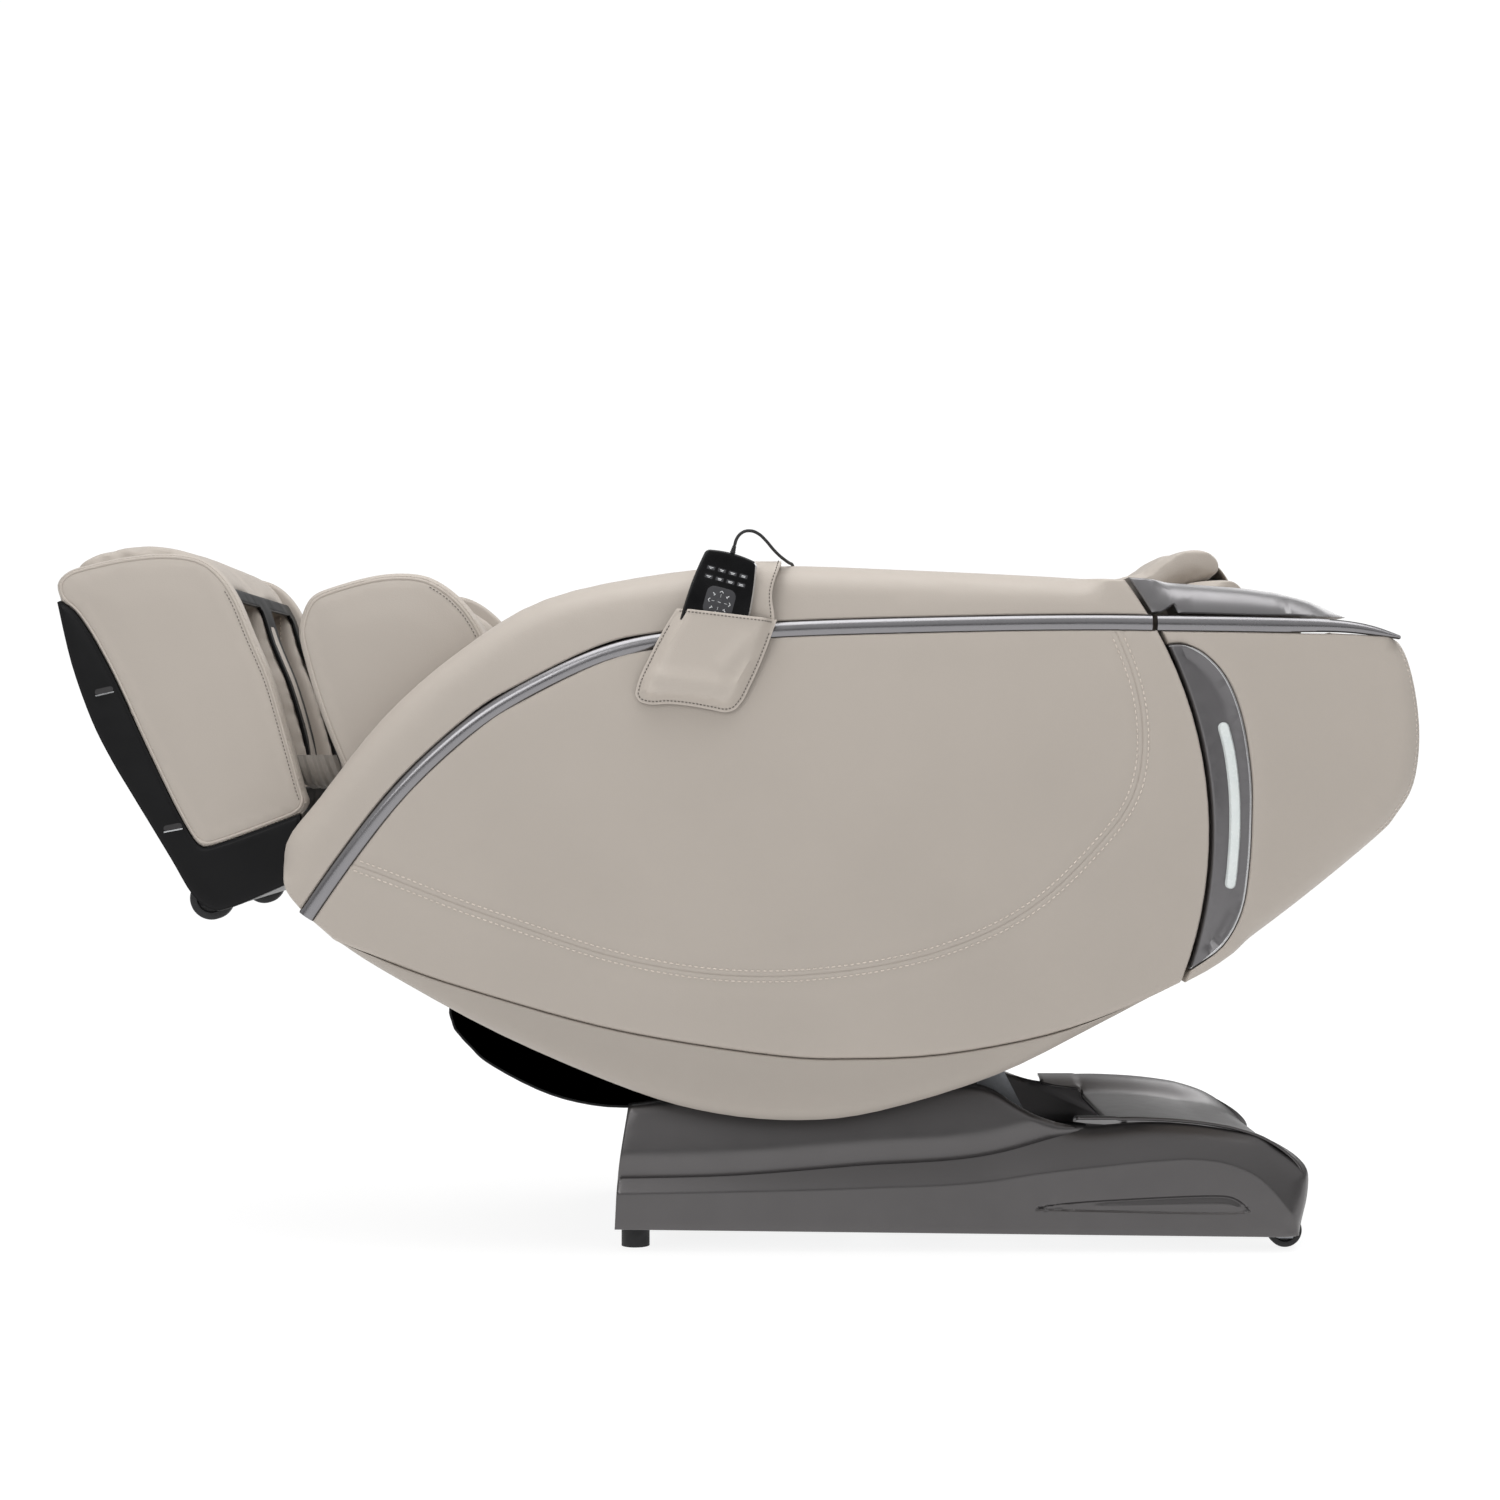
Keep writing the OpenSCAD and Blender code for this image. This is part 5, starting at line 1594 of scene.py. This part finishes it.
def on_back(a, b, y=0.0):
    """The frame's point that lies a along the backrest and b off its rails."""
    return (RECLINE[0] + a * math.cos(BACK_SLOPE) - b * math.sin(BACK_SLOPE), y,
            RECLINE[2] + a * math.sin(BACK_SLOPE) + b * math.cos(BACK_SLOPE))


def build_seat_cushion():
    low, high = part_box("seat_cushion")
    above_it = high.z + 0.05
    seams = [([(low.x + 0.045, y, above_it), (high.x - 0.015, y, above_it)], DOWN) for y in (-0.125, 0.125)]
    seams += [([(-0.215, low.y + 0.01, above_it), (-0.215, high.y - 0.01, above_it)], DOWN)]
    soft_piece("seat_pad", "seat_cushion", seams, cap=0.016)


def build_back_cushion():
    fall = (math.sin(BACK_SLOPE), 0, -math.cos(BACK_SLOPE))
    seams = [([on_back(0.0, 0.2, y), on_back(0.735, 0.2, y)], fall) for y in (-0.120, 0.120)]
    seams += [([on_back(a, 0.2, -0.118), on_back(a, 0.2, 0.118)], fall) for a in (0.13, 0.26, 0.39, 0.52)]
    soft_piece("back_pad", "back_cushion", seams, cap=0.014)


def build_pillow():
    low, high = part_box("headrest_pillow")
    above_it = high.z + 0.05
    seams = [([(low.x + 0.03, y, above_it), (high.x - 0.03, y, above_it)], DOWN) for y in (-0.105, 0.105)]
    seams += [([(0.655, -0.10, above_it), (0.655, 0.10, above_it)], DOWN)]
    soft_piece("head_pillow", "headrest_pillow", seams, voxel=0.005, shrink=0.003, cap=0.010,
               rounds=5)


def build_pillow_flap():
    """The leather flap that the pillow turns over on, sewn to it and to the backrest."""
    profile = [(0.724, 0.128), (0.738, 0.127), (0.7475, 0.121), (0.7535, 0.111), (0.757, 0.099), (0.7595, 0.084),
               (0.7600, 0.066), (0.7585, 0.050)]
    line = spaced(np.array([on_back(along, up)[::2] for along, up in profile]), 0.003)
    rows = [[(x, y, z) for y in np.linspace(-0.120, 0.120, 17)] for x, z in line]
    return applied(open_sheet("pillow_flap", rows, leather_pad, 0.0016, offset=0.0))


def build_shoulder_pads():
    above_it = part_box("shoulder_pads")[1].z + 0.05
    seams = [([(0.50, y, above_it), (0.80, y, above_it)], DOWN) for y in (-0.2525, 0.2525)]
    soft_piece("shoulder_airbags", "shoulder_pads", seams, voxel=0.005, shrink=0.003, cap=0.006, pressure=3,
               seam_depth=0.003)


def build_arm_pads():
    upper = ((-0.19, 0.86), (-0.05, 0.872), (0.11, 0.858))
    lower = ((-0.19, 0.775), (-0.05, 0.768), (0.10, 0.785))
    seams = [([(x, sign * 0.2, z) for x, z in line], (0, sign, 0)) for line in (upper, lower) for sign in (-1, 1)]
    soft_piece("forearm_airbags", "arm_airbags", seams, voxel=0.005, shrink=0.004, cap=0.003, pressure=3,
               seam_depth=0.003, give=lambda p: (np.abs(p[:, 1]) < 0.27).astype(float))


build_seat_cushion()
build_back_cushion()
build_pillow()
pillow_flap = build_pillow_flap()
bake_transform(pillow_flap)
build_shoulder_pads()
build_arm_pads()
shroud = bar("belly_shroud", section("belly_cover", 0.0)[0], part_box("belly_cover")[1].y, black_satin)
placed(shroud, "seat", "dark_fabric", "belly_cover")
back_shell = bar("back_shell_leather", section("back_shell", 0.0)[0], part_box("back_shell")[1].y, leather_shell,
                 end_round=0.008, step=0.004, creases=(0.175,), dents=((0.930, 0.720), (0.773, 0.500)))
placed(back_shell, "backrest", "leather", "back_shell")


# ---------- leg rest ----------
WELT = 0.0021            # radius of the welts round the leg panels
SHELL_SIDE = 0.277       # |y| of the foot shell's skin


def build_leg_panel(name, node, inset, size, crown):
    """A padded side panel with a welt all round, sunk in a groove."""
    half, back = (-corner.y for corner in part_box(node))

    def relief(points, gap):
        return groove(gap - inset, 0.0024, 0.0022) + step_up(gap, inset, inset + 0.06, crown)

    cover = Cover(face_outline(node), lambda p: np.full(len(p), half), rounding([], size), relief)
    line = cover.along_edge(inset)
    panel = cover_piece(name + "_left", cover, back, leather_shell, step=0.010, back_round=0.006,
                        lines=[(np.vstack([line, line[:1]]), [0, 0.0015, -0.0015, 0.0035, -0.0035])])
    path, normal = cover.lifted(line, 0.0001)
    welt = tube(name + "_welt_left", path + 0.0004 * normal, WELT, leather_pad, closed=True)
    return cover, panel, welt


def edge_stitches(name, cover, inset, chosen):
    """Topstitching beside the chosen stretch of a cover's edge."""
    row = spaced(beside(cover.stretch_of(chosen), inset), 0.004)
    row = row[(distance(row, cover.ring) > 0.9 * inset) & inside(row, cover.edge)]
    return stitches(name, [cover.lifted(row)], thread_dark, 0.0006, 0.0035, 0.0055)


calf_cover, *calf_pieces = build_leg_panel("calf_panel", "calf_side_left", 0.0075, (0.011, 0.010), 0.005)
foot_cover, *foot_pieces = build_leg_panel("foot_panel", "foot_side_left", 0.0055, (0.009, 0.008), 0.004)
foot_x, foot_z = foot_cover.edge.T
calf_x, calf_z = calf_cover.edge.T
foot_pieces.append(edge_stitches("foot_panel_stitches_left", foot_cover, 0.0105,
                                 (foot_x > -0.705) & (foot_z > 0.625)))
calf_pieces.append(edge_stitches("calf_panel_stitches_left", calf_cover, 0.0125,
                                 (calf_x > -0.42) & (calf_z > 0.62)))
for unit, pieces in (("calf", calf_pieces), ("foot", foot_pieces)):
    placed_twice(pieces[0], f"{unit}_rest", "leather", f"{unit}_side_left")
    for piece in pieces[1:]:
        placed_twice(piece, f"{unit}_rest", "leather")


def build_calf_pad():
    seams = [([(-0.40, y, 1.1), (-0.57, y, 1.1)], DOWN) for y in (-0.238, 0.238)]
    seams += [([(-0.385, y, 1.0), (-0.545, y, 1.0)], DOWN) for y in (-0.125, 0.125)]
    soft_piece("calf_pads", "calf_pad", seams, shrink=0.004, cap=0.009, rounds=6, seam_depth=0.003)


def build_foot_pad():
    seams = [([(-0.70, y, 1.1), (-0.93, y, 1.1)], DOWN) for y in (-0.205, 0.0, 0.205)]
    soft_piece("foot_pads", "foot_pad", seams, shrink=0.003, cap=0.006, rounds=4, pressure=3,
               seam_depth=0.0025)


def build_foot_frame():
    """Black frame on the calf-side face of the foot unit, open at the two foot wells."""
    front = spaced([(-0.6300, 0.6120), (-0.6225, 0.6250), (-0.6210, 0.6400), (-0.6285, 0.6700), (-0.6390, 0.7250),
                    (-0.6500, 0.7650), (-0.6610, 0.8000), (-0.6870, 0.8640), (-0.7050, 0.9160), (-0.7150, 0.9340)],
                   0.004)
    wells = (0.034, 0.213)      # |y| of a well's two sides
    corner = 0.012
    beside_wells = [sign * y + d for sign in (-1, 1) for y in wells for d in np.linspace(-corner, corner, 9)]
    ys = sorted([*np.linspace(-0.2455, 0.2455, 45), *beside_wells])
    low, high = 0.648, 0.915

    def in_well(c):
        dy = max(wells[0] - abs(c[1]), abs(c[1]) - wells[1]) + corner
        dz = max(low - c[2], c[2] - high) + corner
        return max(dy, dz) < 0 or math.hypot(max(dy, 0), max(dz, 0)) < corner

    rows = [[(x + 0.0012, y, z) for y in ys] for x, z in front]
    return open_sheet("foot_well_frame", rows, black_satin, 0.005, in_well)


def build_foot_shell_side():
    """Satin skin over the side of the foot shell, with its rolled edge."""
    loop = section("foot_shell", -0.271)[0]
    cover = Cover(beside(outline(loop), -0.0006, closed=True), lambda p: np.full(len(p), SHELL_SIDE),
                  rounding([], (0.006, 0.006)))
    return cover_piece("foot_shell_skin_left", cover, SHELL_SIDE - 0.015, black_satin, step=0.010)


def build_shell_slots():
    """Two finger slots in the foot shell's side, with plated lower edges; each slot is a thin near-black inlay,
    painted shade of its opening.
    """
    slots, edges = [], []
    for x, z, degrees in ((-0.878, 0.786, 13), (-0.782, 0.595, 11)):
        c, s = math.cos(math.radians(degrees)), math.sin(math.radians(degrees))
        for shape, proud, rows in ((rounded_box(0.026, 0.0085, 0.0042), 0.0006, slots),
                                   (rounded_box(0.027, 0.0018, 0.0008) - (0, 0.0046), 0.0012, edges)):
            ring = [(x + c * px - s * pz, z + s * px + c * pz) for px, pz in shape]
            rows.append([(ring, SHELL_SIDE - 0.0005), (ring, SHELL_SIDE + proud)])
    return join("foot_shell_slots_left", slots, gap_painted_shade), join("foot_shell_slot_edges_left", edges, chrome)


build_calf_pad()
build_foot_pad()
placed(build_foot_frame(), "foot_rest", "black_plastic", "foot_pad")
for piece in (build_foot_shell_side(), *build_shell_slots()):
    placed_twice(piece, "foot_rest", "black_plastic")


def build_gusset():
    """Pleated cloth between the calf and foot units: a floor and two low sides."""
    low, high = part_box("foot_gusset")
    folds, depth = 5, 0.008
    wall = [(-0.234, 0.046), (-0.234, 0.020), (-0.226, 0.004)]
    ground = [(y, 0.0) for y in np.linspace(-0.20, 0.20, 9)]
    across = np.array(wall + ground + [(-y, h) for y, h in reversed(wall)])
    sides = np.gradient(across, axis=0)
    outward = np.column_stack([sides[:, 1], -sides[:, 0]]) / np.linalg.norm(sides, axis=1)[:, None]
    rows = []
    for share in np.linspace(0, 1, folds * 8 + 1):
        x = low.x + 0.012 + share * (high.x - low.x - 0.034)
        pleat = depth * (0.5 - 0.5 * math.cos(2 * math.pi * folds * share)) - depth / 2
        rows.append([(x - 0.35 * (h + pleat * n[1]), y + 0.5 * pleat * n[0], low.z + 0.010 + h + 0.6 * pleat * n[1])
                     for (y, h), n in zip(across, outward)])
    return applied(open_sheet("leg_gusset", rows, gusset_cloth, 0.0014))


gusset = build_gusset()
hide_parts("foot_gusset")
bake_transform(gusset)


# ---------- pieces kept from the frame ----------
for names, material in (
        (("base_frame", "glide_carriage", "seat_frame", "back_frame", "massage_carriage"), steel_paint),
        (("tilt_pin", "hinge_shafts", "front_roller_axle", "rear_roller_axle"), bright_steel),
        (("glide_actuator", "hinge_gearmotors", "air_pump_box", "power_inlet", "calf_frame", "foot_shell"), black_satin),
        (("massage_rollers", "foot_roller"), roller_plastic),
        (("front_feet", "cord_gland"), rubber_black),
        (("shell_boards",), leather_dark),
        (("power_switch",), switch_red)):
    for name in names:
        nodes[name].data.materials.clear()
        nodes[name].data.materials.append(material)


make_camera()
make_studio()
